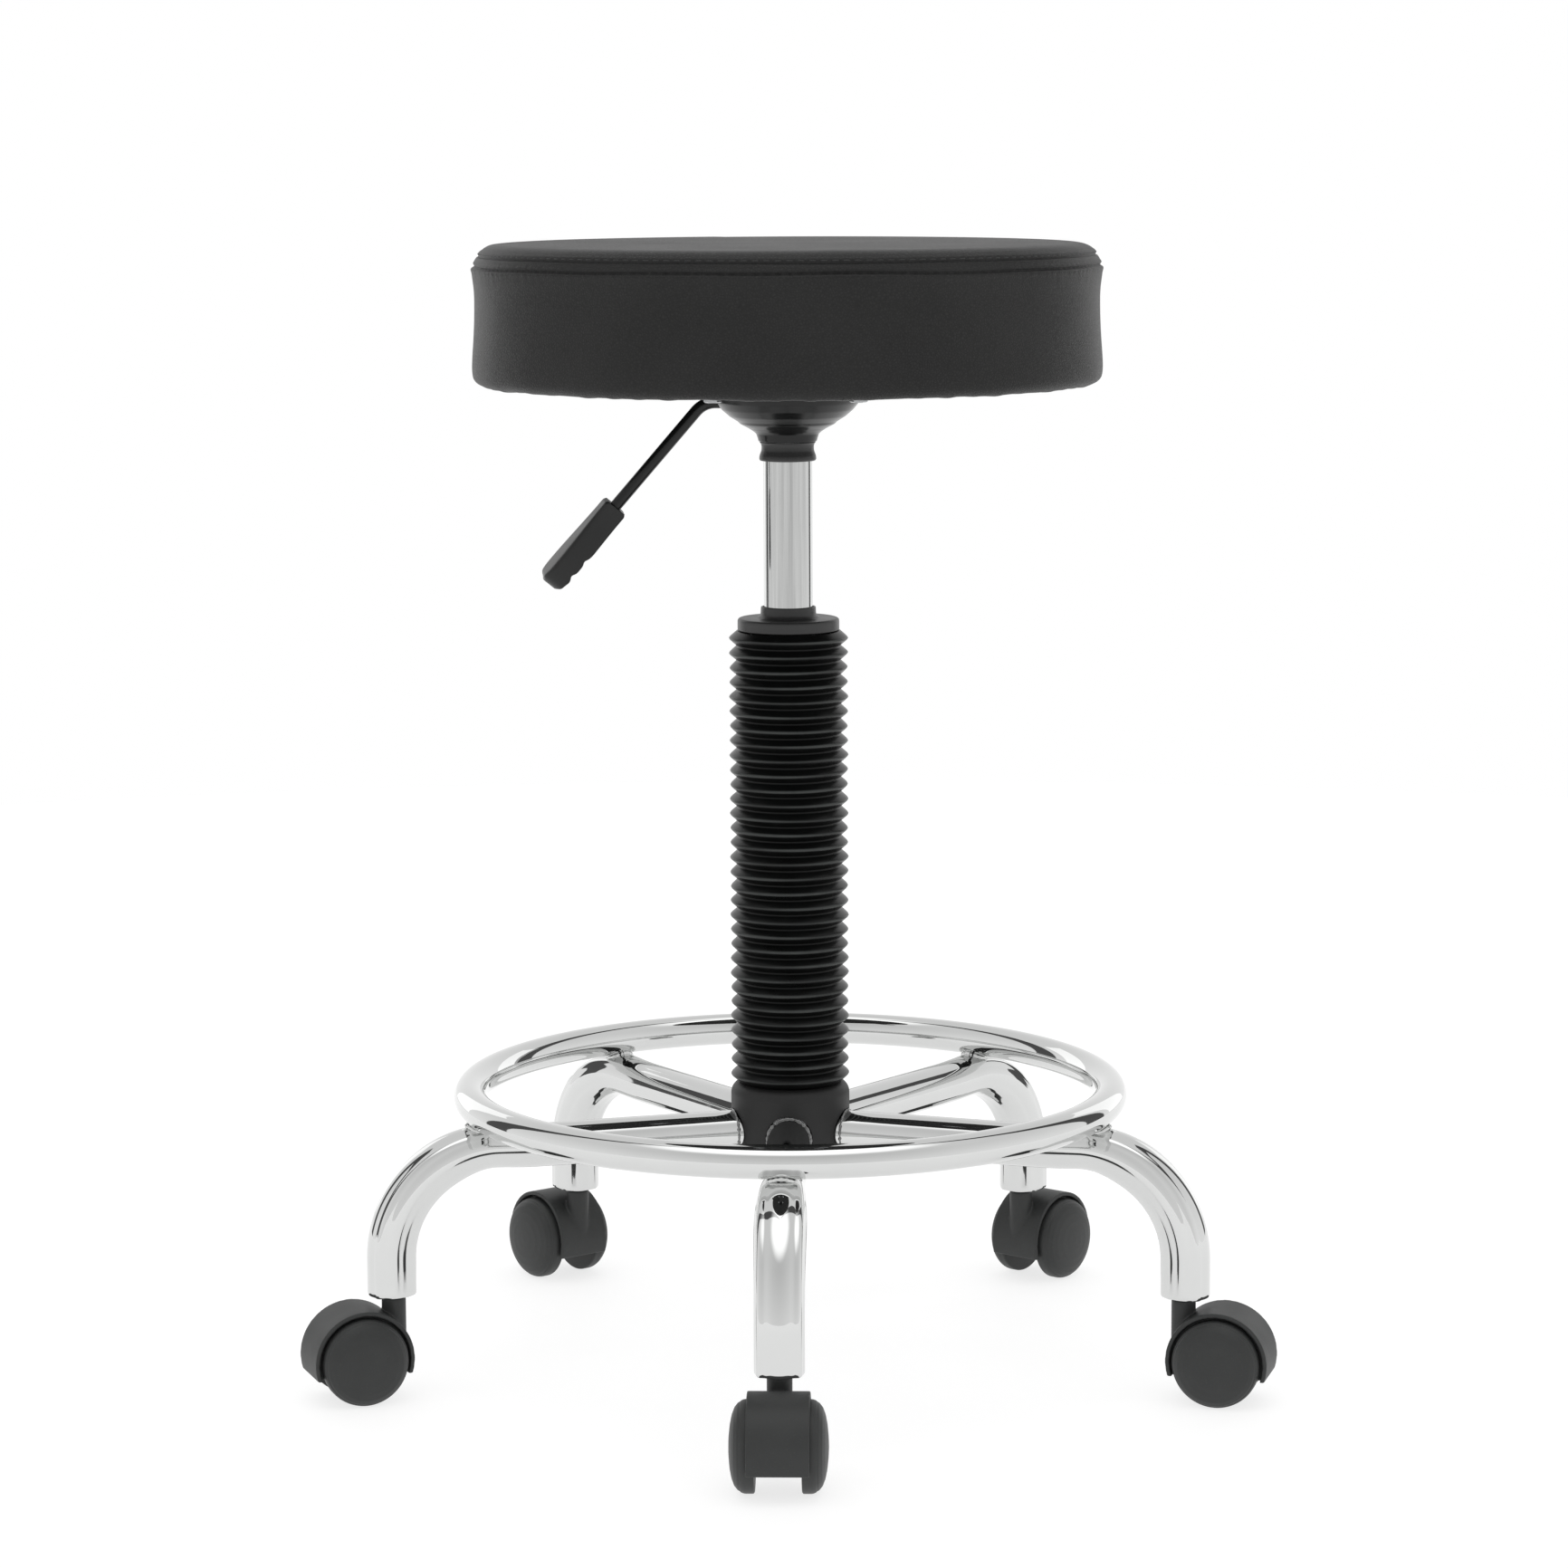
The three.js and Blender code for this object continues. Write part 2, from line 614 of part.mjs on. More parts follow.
/** The pressed bowl under the seat, with a flange, a socket for the cylinder and a slot for the lever. */
function seatPlateGeometry() {
  const socketInner = cylinderRadius + touchGap;
  const socketOuter = socketInner + plateSocketWall;
  const throat = socketOuter + bowlThroat;
  const reach = bowlRadius - throat;
  const outside = bowlDegrees.map((degrees) => {
    const angle = THREE.MathUtils.degToRad(degrees);
    const rise = bowlHeight - bowlThroat - bowlRim;
    return [throat + reach * Math.sin(angle), bowlBottomZ + bowlThroat + rise * (1 - Math.cos(angle))];
  });
  const inside = outside.map(([radius, z]) => [radius - bowlWall, z + bowlWall]).reverse();
  const bowl = turned([
    [socketInner, bowlBottomZ], [socketOuter, bowlBottomZ], [throat, bowlBottomZ + bowlThroat], ...outside,
    [bowlRadius, flangeBottomZ], [flangeRadius, flangeBottomZ], [flangeRadius, flangeTopZ],
    [bowlRadius - bowlWall, flangeTopZ], ...inside, [socketOuter, bowlBottomZ + bowlThroat + bowlWall],
    [socketOuter, bowlBottomZ + plateSocketHeight], [socketInner, bowlBottomZ + plateSocketHeight],
    [socketInner, bowlBottomZ],
  ]);
  const slot = block(
    [-bowlRadius - looseGap, -leverRadius - looseGap, leverZ - leverRadius - looseGap],
    [-bowlRadius / 2, leverRadius + looseGap, leverZ + leverRadius + looseGap],
  );
  return cut(bowl, slot, ...boltHoles(flangeBottomZ - looseGap, flangeTopZ + looseGap));
}

/** The plastic collar that hides the cylinder's upper end. */
function collarGeometry() {
  const bore = cylinderRadius + touchGap;
  const waist = bore + collarWall;
  return turned([
    [bore, collarBottomZ], [waist + collarFlare, collarBottomZ], [waist, collarBottomZ + collarHeight / 2],
    [waist + collarFlare, collarTopZ], [bore, collarTopZ], [bore, collarBottomZ],
  ]);
}

/** A bolt from below: its head under the plate's flange, its shank up into the board. */
function boltGeometry() {
  const headTop = flangeBottomZ - touchGap;
  return turned([
    [0, headTop - boltHeadHeight], [boltHeadRadius, headTop - boltHeadHeight], [boltHeadRadius, headTop],
    [boltRadius, headTop], [boltRadius, headTop + boltLength], [0, headTop + boltLength],
  ], smallSides);
}

/** The lever's rod: level over the release pin, then bent down and out to the handle. */
function leverRodGeometry() {
  const turn = 90 - leverAngle;
  const bendStart = leverReach - leverBendRadius * Math.tan(THREE.MathUtils.degToRad(turn / 2));
  const knots = bend(-bendStart, leverZ - leverBendRadius, leverBendRadius, 90, 90 + turn, leverBendSteps);
  const runOut = leverRun - (leverReach - bendStart) + leverGrip;
  const route = bentRoute(leverPastAxis, leverZ, knots, runOut);
  return swept(route, leverRadius, leverSides);
}

/** The paddle on the lever, along local -Z from its root, with finger grooves on its underside. */
function handleGeometry() {
  const half = handleThickness / 2;
  const round = handleRound;
  const outline = new THREE.Shape();
  outline.moveTo(-half + round, 0);
  outline.lineTo(-half, -round);
  outline.lineTo(-half, -handleLength + round);
  outline.lineTo(-half + round, -handleLength);
  outline.lineTo(half - round, -handleLength);
  outline.lineTo(half, -handleLength + round);
  for (const along of [...handleGrooves].reverse()) {
    outline.lineTo(half, -along - handleGrooveDepth);
    outline.lineTo(half - handleGrooveDepth, -along);
    outline.lineTo(half, -along + handleGrooveDepth);
  }
  outline.lineTo(half, -round);
  outline.lineTo(half - round, 0);
  const paddle = new THREE.ExtrudeGeometry(outline, { depth: handleWidth, bevelEnabled: false })
    .translate(0, 0, -handleWidth / 2).rotateX(Math.PI / 2);
  return cut(paddle, bar(leverRadius + touchGap, -leverGrip - touchGap, looseGap, smallSides));
}

function addSeatPlate() {
  addPiece(model, 'seat_plate', seatPlateGeometry(), finishes.blackSteel);
  addPiece(model, 'plate_collar', collarGeometry(), finishes.blackPlastic);
  boltPlaces().forEach(([x, y], i) => {
    const bolt = addPiece(model, `seat_bolt_${i + 1}`, boltGeometry(), finishes.steel);
    bolt.position.set(x, y, 0);
  });
  const pinTop = cylinderTopZ + pinProud;
  addPiece(model, 'release_pin', bar(pinRadius, pinTop - pinLength, pinTop, columnSides), finishes.steel);
  addPiece(model, 'lever_rod', leverRodGeometry(), finishes.blackSteel);
  const tilt = THREE.MathUtils.degToRad(leverAngle);
  const handle = addPiece(model, 'lever_handle', handleGeometry(), finishes.blackPlastic);
  handle.position.set(-leverReach - leverRun * Math.sin(tilt), 0, leverZ - leverRun * Math.cos(tilt));
  handle.rotation.y = tilt;
}

// ---------------------------------------------------------------- seat
/** The seat's side profile from the bottom edge to the top edge, drawn in by a skin thickness. */
function seatSide(inset) {
  const lower = seatBottomRound - inset;
  const upper = seatTopRound - inset;
  const topRadius = seatRadius - seatWaist + seatShoulder;
  return [
    ...corner(seatRadius - seatBottomRound, seatBottomZ + seatBottomRound, lower, -90, 0, roundSteps),
    [seatRadius - inset, seatBottomZ + seatBulgeHeight],
    [seatRadius - seatWaist - inset, seatBottomZ + seatWaistHeight],
    ...corner(topRadius - seatTopRound, seatTopZ - seatTopRound, upper, 0, 90, roundSteps),
  ];
}

/** The leatherette cover: a thin skin over the foam that wraps under the board and is open there. */
function seatCoverGeometry() {
  return turned([
    [hemRadius, seatBottomZ + coverSkin], [hemRadius, seatBottomZ], ...seatSide(0), [0, seatTopZ],
    [0, seatTopZ - coverSkin], ...seatSide(coverSkin).reverse(), [hemRadius, seatBottomZ + coverSkin],
  ], fineSides);
}

/** The foam block on the board, inside the cover. */
function foamGeometry() {
  const inset = coverSkin + touchGap;
  const bottom = boardTopZ + touchGap;
  const side = seatSide(inset).filter(([, z]) => z > bottom);
  return turned([[0, bottom], [seatRadius - inset, bottom], ...side, [0, seatTopZ - inset]], fineSides);
}

function addSeat() {
  addPiece(model, 'seat_cover', seatCoverGeometry(), finishes.leather);
  addPiece(model, 'seat_foam', foamGeometry(), finishes.foam);
  const board = cut(
    bar(boardRadius, boardBottomZ, boardTopZ, fineSides),
    ...boltHoles(boardBottomZ - looseGap, flangeBottomZ + boltLength),
  );
  addPiece(model, 'seat_board', board, finishes.plywood);
  const dustBottom = seatBottomZ + touchGap;
  const dustCover = cut(
    bar(hemRadius - looseGap, dustBottom, dustBottom + dustCoverThickness, fineSides),
    ...boltHoles(dustBottom - looseGap, dustBottom + dustCoverThickness + looseGap),
  );
  addPiece(model, 'dust_cover', dustCover, finishes.fabric);
}

addBase();
addGasLift();
addSeatPlate();
addSeat();

export default model;
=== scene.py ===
"""Adjustable swivel stool: its visible surfaces and finishes, and the studio it stands in.

Sizes are in millimetres and angles in degrees; a mesh is turned into metres when it is made. Pieces ride on
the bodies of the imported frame, in the frame's own coordinates: +Z up, the front leg along -Y, the lever
along -X.
"""
import logging
import math
from dataclasses import dataclass, field
from enum import Enum
from typing import Any, Sequence

import bmesh
import bpy
import numpy as np
from mathutils import Matrix, Vector


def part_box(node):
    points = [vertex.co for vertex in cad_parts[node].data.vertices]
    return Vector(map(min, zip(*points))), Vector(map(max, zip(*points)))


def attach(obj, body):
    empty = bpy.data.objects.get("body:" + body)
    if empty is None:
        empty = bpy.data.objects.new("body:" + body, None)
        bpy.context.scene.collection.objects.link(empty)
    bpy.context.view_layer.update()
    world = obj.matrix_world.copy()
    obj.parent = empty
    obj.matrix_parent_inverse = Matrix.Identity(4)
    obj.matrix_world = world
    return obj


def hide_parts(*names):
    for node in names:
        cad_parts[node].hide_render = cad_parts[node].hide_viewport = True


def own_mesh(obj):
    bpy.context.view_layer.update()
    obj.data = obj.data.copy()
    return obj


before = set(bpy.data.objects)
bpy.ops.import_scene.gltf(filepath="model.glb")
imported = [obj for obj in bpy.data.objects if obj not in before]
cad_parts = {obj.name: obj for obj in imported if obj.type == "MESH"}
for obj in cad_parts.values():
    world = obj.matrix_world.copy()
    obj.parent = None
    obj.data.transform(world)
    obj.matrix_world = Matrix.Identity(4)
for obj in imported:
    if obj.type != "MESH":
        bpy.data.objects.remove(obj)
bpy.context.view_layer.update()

log = logging.getLogger("stool")
Colour = tuple[float, float, float, float]
MM = 0.001
LEG_COUNT = 5
FINE = 96  # sides of a fine turned piece


def span(node: str, axis: int) -> tuple[float, float]:
    """The lowest and highest place of a frame node along an axis, to a thousandth of a millimetre."""
    low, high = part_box(node)
    return round(low[axis] / MM, 3), round(high[axis] / MM, 3)


def middle(node: str, axis: int) -> float:
    """The middle of a frame node along an axis, to a thousandth of a millimetre."""
    return round(sum(span(node, axis)) / 2, 3)


# ---------------------------------------------------------------- meshes
def grid_faces(rows: int, columns: int, rows_close: bool, columns_close: bool) -> np.ndarray:
    """Number the corners of the quads between neighbouring points of a grid.

    Args:
        rows: how many rows of points the grid has.
        columns: how many points each row has.
        rows_close: whether the last row joins the first.
        columns_close: whether each row's last point joins its first.

    Returns:
        One line of four point numbers for each quad.
    """
    i = np.arange(rows if rows_close else rows - 1)[:, None]
    j = np.arange(columns if columns_close else columns - 1)[None, :]
    below, beside = (i + 1) % rows, (j + 1) % columns
    corners = [i * columns + j, i * columns + beside, below * columns + beside, below * columns + j]
    return np.stack(np.broadcast_arrays(*corners), axis=-1).reshape(-1, 4)


def new_object(name: str, mesh: bpy.types.Mesh) -> bpy.types.Object:
    """Link a mesh into the scene as an object of the same name."""
    mesh.name = name
    made = bpy.data.objects.new(name, mesh)
    bpy.context.scene.collection.objects.link(made)
    return made


def mesh_from(points: np.ndarray, faces: np.ndarray, sharp: float = 40.0,
              outward: bool = True) -> bpy.types.Mesh:
    """Make a smooth-shaded mesh in metres.

    Coincident points are merged, which closes poles and seams.

    Args:
        points: positions in millimetres, one line each.
        faces: the point numbers of each quad.
        sharp: the angle in degrees past which an edge is drawn sharp.
        outward: whether the faces are turned to point out of the closed shape.

    Returns:
        The mesh.
    """
    mesh = bpy.data.meshes.new("surface")
    mesh.from_pydata((points * MM).tolist(), [], faces.tolist())
    work = bmesh.new()
    work.from_mesh(mesh)
    bmesh.ops.remove_doubles(work, verts=work.verts, dist=2e-6)
    if outward:
        bmesh.ops.recalc_face_normals(work, faces=work.faces)
    work.to_mesh(mesh)
    work.free()
    mesh.shade_smooth()
    mesh.set_sharp_from_angle(angle=math.radians(sharp))
    return mesh


def mesh_of_grid(points: np.ndarray, rows_close: bool = False, columns_close: bool = True,
                 sharp: float = 40.0) -> bpy.types.Mesh:
    """Make a mesh from a grid of points.

    Args:
        points: the grid, as rows x columns x 3 in millimetres.
        rows_close: whether the last row joins the first.
        columns_close: whether each row's last point joins its first.
        sharp: the angle in degrees past which an edge is drawn sharp.

    Returns:
        The mesh.
    """
    faces = grid_faces(points.shape[0], points.shape[1], rows_close, columns_close)
    return mesh_from(points.reshape(-1, 3), faces, sharp)


def capped(points: np.ndarray) -> np.ndarray:
    """Close a tube's two ends: a row at the middle of the first row, and one at the middle of the last."""
    first = np.broadcast_to(points[0].mean(axis=0), points[0].shape)
    last = np.broadcast_to(points[-1].mean(axis=0), points[-1].shape)
    return np.concatenate([first[None], points, last[None]])


def copies_of(points: np.ndarray, faces: np.ndarray, places: np.ndarray,
              frames: np.ndarray) -> tuple[np.ndarray, np.ndarray]:
    """Repeat one small shape at many places.

    Each copy's point is its place plus the frame's three axes, each times the point's own coordinate.

    Args:
        points: the shape's points.
        faces: the shape's quads.
        places: where each copy goes.
        frames: each copy's axes as the rows of a 3 x 3 matrix.

    Returns:
        The points and the quads of all copies.
    """
    all_points = places[:, None, :] + np.einsum("pk,nkd->npd", points, frames)
    shifts = (np.arange(len(places)) * len(points))[:, None, None]
    return all_points.reshape(-1, 3), (faces[None] + shifts).reshape(-1, faces.shape[1])


def settled(source: bpy.types.Object) -> bpy.types.Mesh:
    """The object's mesh with its modifiers worked in; the object is removed."""
    bpy.context.view_layer.update()
    graph = bpy.context.evaluated_depsgraph_get()
    mesh = bpy.data.meshes.new_from_object(source.evaluated_get(graph))
    bpy.data.objects.remove(source)
    return mesh


def positions(mesh: bpy.types.Mesh) -> np.ndarray:
    """The mesh's points in millimetres, one line each."""
    flat = np.empty(len(mesh.vertices) * 3, np.float32)
    mesh.vertices.foreach_get("co", flat)
    return flat.reshape(-1, 3).astype(float) / MM


def set_positions(mesh: bpy.types.Mesh, points: np.ndarray) -> None:
    """Move the mesh's points to these places in millimetres."""
    mesh.vertices.foreach_set("co", (points * MM).astype(np.float32).ravel())
    mesh.update()


# ---------------------------------------------------------------- outlines
def softened(corners: Sequence[Sequence[float]], cuts: Sequence[float] | float, steps: int = 6,
             closes: bool = False) -> np.ndarray:
    """Round the corners of an outline.

    Each corner becomes a quadratic curve that leaves one side and meets the other at the corner's cut.

    Args:
        corners: the outline's corners, as pairs.
        cuts: how far from each corner its rounding starts.
        steps: how many pieces each rounding has.
        closes: whether the last corner joins the first; else the two ends stay sharp.

    Returns:
        The points of the rounded outline.
    """
    here = np.asarray(corners, float)
    to_last, to_next = np.roll(here, 1, 0) - here, np.roll(here, -1, 0) - here
    last_length = np.linalg.norm(to_last, axis=1)
    next_length = np.linalg.norm(to_next, axis=1)
    cut = np.minimum(np.broadcast_to(cuts, len(here)), 0.49 * np.minimum(last_length, next_length))
    if not closes:
        cut = cut.copy()
        cut[[0, -1]] = 0.0
    start = here + to_last * (cut / last_length)[:, None]
    end = here + to_next * (cut / next_length)[:, None]
    s = np.linspace(0, 1, steps + 1)[None, :, None]
    curve = (1 - s) ** 2 * start[:, None] + 2 * s * (1 - s) * here[:, None] + s ** 2 * end[:, None]
    outline = curve.reshape(-1, here.shape[1])
    apart = np.linalg.norm(np.diff(outline, axis=0, prepend=outline[:1] - 1), axis=1) > 1e-6
    return outline[apart]


def supported(outline: np.ndarray, reach: float = 0.5) -> np.ndarray:
    """Add a point near each end of every long straight stretch, so that shading stays flat along it.

    Args:
        outline: the outline's points.
        reach: how far from each end the new point lies.

    Returns:
        The outline with the new points.
    """
    step = np.diff(outline, axis=0)
    length = np.linalg.norm(step, axis=1)
    long = np.nonzero(length > 4 * reach)[0]
    inward = step[long] / length[long, None] * reach
    extra = np.stack([outline[long] + inward, outline[long + 1] - inward], axis=1)
    return np.insert(outline, np.repeat(long + 1, 2), extra.reshape(-1, outline.shape[1]), axis=0)


def curve_through(knots: Sequence[Sequence[float]], at: np.ndarray) -> np.ndarray:
    """Points on a smooth curve through the knots.

    Between two knots it is a Catmull-Rom cubic: it leaves each knot along the line between its neighbours.

    Args:
        knots: the knots, as pairs.
        at: where to read the curve, counted in knots from the first.

    Returns:
        One line for each place asked for.
    """
    k = np.asarray(knots, float)
    padded_knots = np.concatenate([2 * k[:1] - k[1:2], k, 2 * k[-1:] - k[-2:-1]])
    span = np.clip(at.astype(int), 0, len(k) - 2)
    t = (at - span)[:, None]
    a, b, c, d = (padded_knots[span + i] for i in range(4))
    return 0.5 * (2 * b + (c - a) * t + (2 * a - 5 * b + 4 * c - d) * t ** 2
                  + (3 * b - a - 3 * c + d) * t ** 3)


def turned(profile: np.ndarray, sides: int = FINE) -> np.ndarray:
    """Turn a profile about Z: x = r cos a, y = r sin a, with the same z all round.

    Args:
        profile: its (radius, z) points.
        sides: how many points each turn has.

    Returns:
        A grid with a row for each point of the profile.
    """
    a = around(sides)
    radius, z = profile[:, :1], np.broadcast_to(profile[:, 1:2], (len(profile), sides))
    return np.stack([radius * np.cos(a), radius * np.sin(a), z], axis=-1)


def swept(path: np.ndarray, outline: np.ndarray) -> np.ndarray:
    """Carry outlines along a path that lies in the XZ plane.

    A point is the path's point, plus the outline's first coordinate along the path's left-hand normal in that
    plane, plus its second along Y.

    Args:
        path: the path's (x, z) points.
        outline: (normal, y) pairs, one outline for all points or one for each.

    Returns:
        A grid with a row for each point of the path.
    """
    along = np.gradient(path, axis=0)
    along /= np.linalg.norm(along, axis=1)[:, None]
    normal = np.stack([-along[:, 1], along[:, 0]], axis=1)
    shape = np.broadcast_to(outline, (len(path), *outline.shape[-2:]))
    x = path[:, :1] + normal[:, :1] * shape[..., 0]
    z = path[:, 1:] + normal[:, 1:] * shape[..., 0]
    return np.stack([x, shape[..., 1], z], axis=-1)


def around(count: int) -> np.ndarray:
    """Angles evenly round a circle, in radians from 0."""
    return 2 * np.pi * np.arange(count) / count


def circle(radius: float, count: int) -> np.ndarray:
    """Points evenly round a circle."""
    a = around(count)
    return radius * np.stack([np.cos(a), np.sin(a)], axis=1)


def bead(line: np.ndarray, thick: np.ndarray, out: np.ndarray, along: np.ndarray, sides: int) -> np.ndarray:
    """A closed roll laid along a line.

    A point is the line's point plus the roll's thickness there times a unit circle in the plane of two
    directions.

    Args:
        line: the roll's middle points.
        thick: its radius at each point.
        out: the first direction at each point.
        along: the second direction, the same for all.
        sides: how many points each section has.

    Returns:
        A grid with a row for each point of the line.
    """
    section = circle(1.0, sides)
    return line[:, None] + thick[:, None, None] * (section[None, :, :1] * out[:, None]
                                                   + section[None, :, 1:] * along)


def about_z(points: np.ndarray, degrees: float) -> np.ndarray:
    """Turn points about the Z axis."""
    a = math.radians(degrees)
    turn = np.array([[math.cos(a), math.sin(a), 0], [-math.sin(a), math.cos(a), 0], [0, 0, 1]])
    return points @ turn


def smooth_step(x: np.ndarray, low: float, high: float) -> np.ndarray:
    """Rise from 0 at low to 1 at high along a cubic with level ends."""
    t = np.clip((x - low) / (high - low), 0, 1)
    return t * t * (3 - 2 * t)


def bump(x: np.ndarray, middle: float, width: float) -> np.ndarray:
    """A bell of height 1 round its middle."""
    return np.exp(-((x - middle) / width) ** 2)


def waves(angle: np.ndarray, counts: Sequence[int], seed: int) -> np.ndarray:
    """A ragged wave round a ring: a sum of cosines, each with a seeded phase and weight, at most about 1.

    Args:
        angle: where to read it, in radians.
        counts: how many waves each cosine has round the ring.
        seed: the seed of the phases and weights.

    Returns:
        Its height at each angle.
    """
    random = np.random.default_rng(seed)
    total = np.zeros_like(angle)
    for count in counts:
        total = total + random.uniform(0.5, 1.0) * np.cos(count * angle + random.uniform(0, 2 * np.pi))
    return total / len(counts)


# ---------------------------------------------------------------- shader maths
class Wire:
    """An output socket in a shader expression; arithmetic on it adds Math nodes."""

    def __init__(self, graph: "Graph", socket: bpy.types.NodeSocket) -> None:
        """Keep the socket and the graph that it belongs to."""
        self.graph = graph
        self.socket = socket

    def _math(self, operation: str, *values: "Wire | float") -> "Wire":
        """A Math node on these values."""
        return self.graph.node("ShaderNodeMath", {"operation": operation}, dict(enumerate(values)))

    def __add__(self, other: "Wire | float") -> "Wire":
        """Sum."""
        return self._math("ADD", self, other)

    __radd__ = __add__

    def __sub__(self, other: "Wire | float") -> "Wire":
        """Difference."""
        return self._math("SUBTRACT", self, other)

    def __rsub__(self, other: float) -> "Wire":
        """Difference from a number."""
        return self._math("SUBTRACT", other, self)

    def __mul__(self, other: "Wire | float") -> "Wire":
        """Product."""
        return self._math("MULTIPLY", self, other)

    __rmul__ = __mul__

    def __truediv__(self, other: "Wire | float") -> "Wire":
        """Quotient."""
        return self._math("DIVIDE", self, other)

    def __pow__(self, other: float) -> "Wire":
        """Power."""
        return self._math("POWER", self, other)

    def at_most(self, other: "Wire | float") -> "Wire":
        """The smaller of the two."""
        return self._math("MINIMUM", self, other)

    def at_least(self, other: "Wire | float") -> "Wire":
        """The larger of the two."""
        return self._math("MAXIMUM", self, other)

    def held(self, low: float = 0.0, high: float = 1.0) -> "Wire":
        """The value kept between two limits."""
        return self.at_least(low).at_most(high)


class Graph:
    """A node tree under construction."""

    def __init__(self, tree: bpy.types.NodeTree) -> None:
        """Start from an empty tree."""
        self.tree = tree
        tree.nodes.clear()

    def node(self, kind: str, settings: dict[str, Any] | None = None,
             inputs: dict[str | int, Any] | None = None, output: str | int = 0) -> Wire | None:
        """Add one node.

        Args:
            kind: the node's type.
            settings: its properties.
            inputs: a value or a wire for each named or numbered socket.
            output: which output to hand back.

        Returns:
            The output asked for, or nothing for a node with none.
        """
        made = self.tree.nodes.new(kind)
        for name, value in (settings or {}).items():
            setattr(made, name, value)
        for key, value in (inputs or {}).items():
            if isinstance(value, Wire):
                self.tree.links.new(value.socket, made.inputs[key])
            else:
                made.inputs[key].default_value = value
        return Wire(self, made.outputs[output]) if made.outputs else None

    def place(self) -> Wire:
        """The point's own coordinates, in metres."""
        return self.node("ShaderNodeTexCoord", output="Object")

    def noise(self, at: Wire, size: float, detail: float = 2.0, roughness: float = 0.5) -> Wire:
        """Cloudy noise from 0 to 1 with features of about this size in millimetres."""
        inputs = {"Vector": at, "Scale": 1 / (size * MM), "Detail": detail, "Roughness": roughness}
        return self.node("ShaderNodeTexNoise", None, inputs)

    def blend(self, share: Wire, low: Colour, high: Colour) -> Wire:
        """A colour between two, by share."""
        settings = {"data_type": "RGBA", "clamp_factor": True}
        return self.node("ShaderNodeMix", settings, {0: share, 6: low, 7: high}, output=2)

    def relief(self, height: Wire, depth: float, strength: float = 1.0) -> Wire:
        """A surface normal from a height of 0 to 1 that stands for this depth in millimetres."""
        inputs = {"Strength": strength, "Distance": depth * MM, "Height": height}
        return self.node("ShaderNodeBump", None, inputs)

    def axes(self, vector: Wire) -> list[Wire]:
        """The three parts of a vector."""
        split = self.node("ShaderNodeSeparateXYZ", None, {0: vector})
        return [Wire(self, part) for part in split.socket.node.outputs]

    def coat(self, colour: Wire, rough: Wire | float, **more: Wire | float | Colour) -> Wire:
        """The surface shader.

        Args:
            colour: its base colour.
            rough: its roughness.
            more: values for further sockets, each named with an underline for every space.

        Returns:
            The shader.
        """
        inputs = {"Base Color": colour, "Roughness": rough}
        inputs.update({name.replace("_", " "): value for name, value in more.items()})
        return self.node("ShaderNodeBsdfPrincipled", None, inputs)


def tinted(colour: Colour, by: float) -> Colour:
    """The colour made lighter or darker."""
    return (colour[0] * by, colour[1] * by, colour[2] * by, 1.0)


# ---------------------------------------------------------------- finishes
MADE: dict[str, bpy.types.Material] = {}  # the finishes' materials by name


@dataclass(frozen=True)
class Finish:
    """A surface finish; each kind builds its own nodes."""

    name: str
    colour: Colour
    roughness: float

    def surface(self, graph: Graph) -> Wire:
        """The shader, as built by each kind of finish."""
        raise NotImplementedError

    def material(self) -> bpy.types.Material:
        """The material of this finish, made once.

        It is looked up among the finishes only, so a flat material of the frame never stands in for it.

        Returns:
            The material.
        """
        if self.name not in MADE:
            made = bpy.data.materials.new(self.name)
            made.use_nodes = True
            graph = Graph(made.node_tree)
            graph.node("ShaderNodeOutputMaterial", None, {"Surface": self.surface(graph)})
            MADE[self.name] = made
        return MADE[self.name]


@dataclass(frozen=True)
class ChromePlate(Finish):
    """Polished plating with faint waviness, polishing haze and smudges."""

    def surface(self, graph: Graph) -> Wire:
        """A mirror metal whose roughness and tint drift, over a very shallow relief."""
        at = graph.place()
        smudge = graph.noise(at, 22.0, 4.0)
        haze = graph.noise(at, 3.0, 3.0)
        colour = graph.blend(smudge, tinted(self.colour, 0.96), self.colour)
        rough = self.roughness + 0.02 * (smudge - 0.45).held() + 0.01 * haze
        normal = graph.relief(graph.noise(at, 14.0, 1.0), 0.035)
        return graph.coat(colour, rough, Metallic=1.0, Normal=normal)


@dataclass(frozen=True)
class GroundChrome(Finish):
    """Hard plating ground along Z, with fine upright streaks and a few rubbed patches."""

    def surface(self, graph: Graph) -> Wire:
        """A bright metal whose tint and gloss change in streaks that are long along Z."""
        inputs = {"Vector": graph.place(), "Scale": (1.0, 1.0, 0.012)}
        stretched = graph.node("ShaderNodeMapping", None, inputs)
        streaks = graph.noise(stretched, 1.6, 4.0, 0.6)
        rubbed = graph.noise(graph.place(), 7.0, 5.0, 0.65)
        shade = (1.9 * streaks - 0.45 - 0.25 * (rubbed - 0.55).held()).held()
        colour = graph.blend(shade, tinted(self.colour, 0.72), tinted(self.colour, 1.16))
        rough = self.roughness + 0.10 * (rubbed - 0.5).held() + 0.04 * streaks
        return graph.coat(colour, rough, Metallic=1.0, Normal=graph.relief(streaks, 0.012, 0.5))


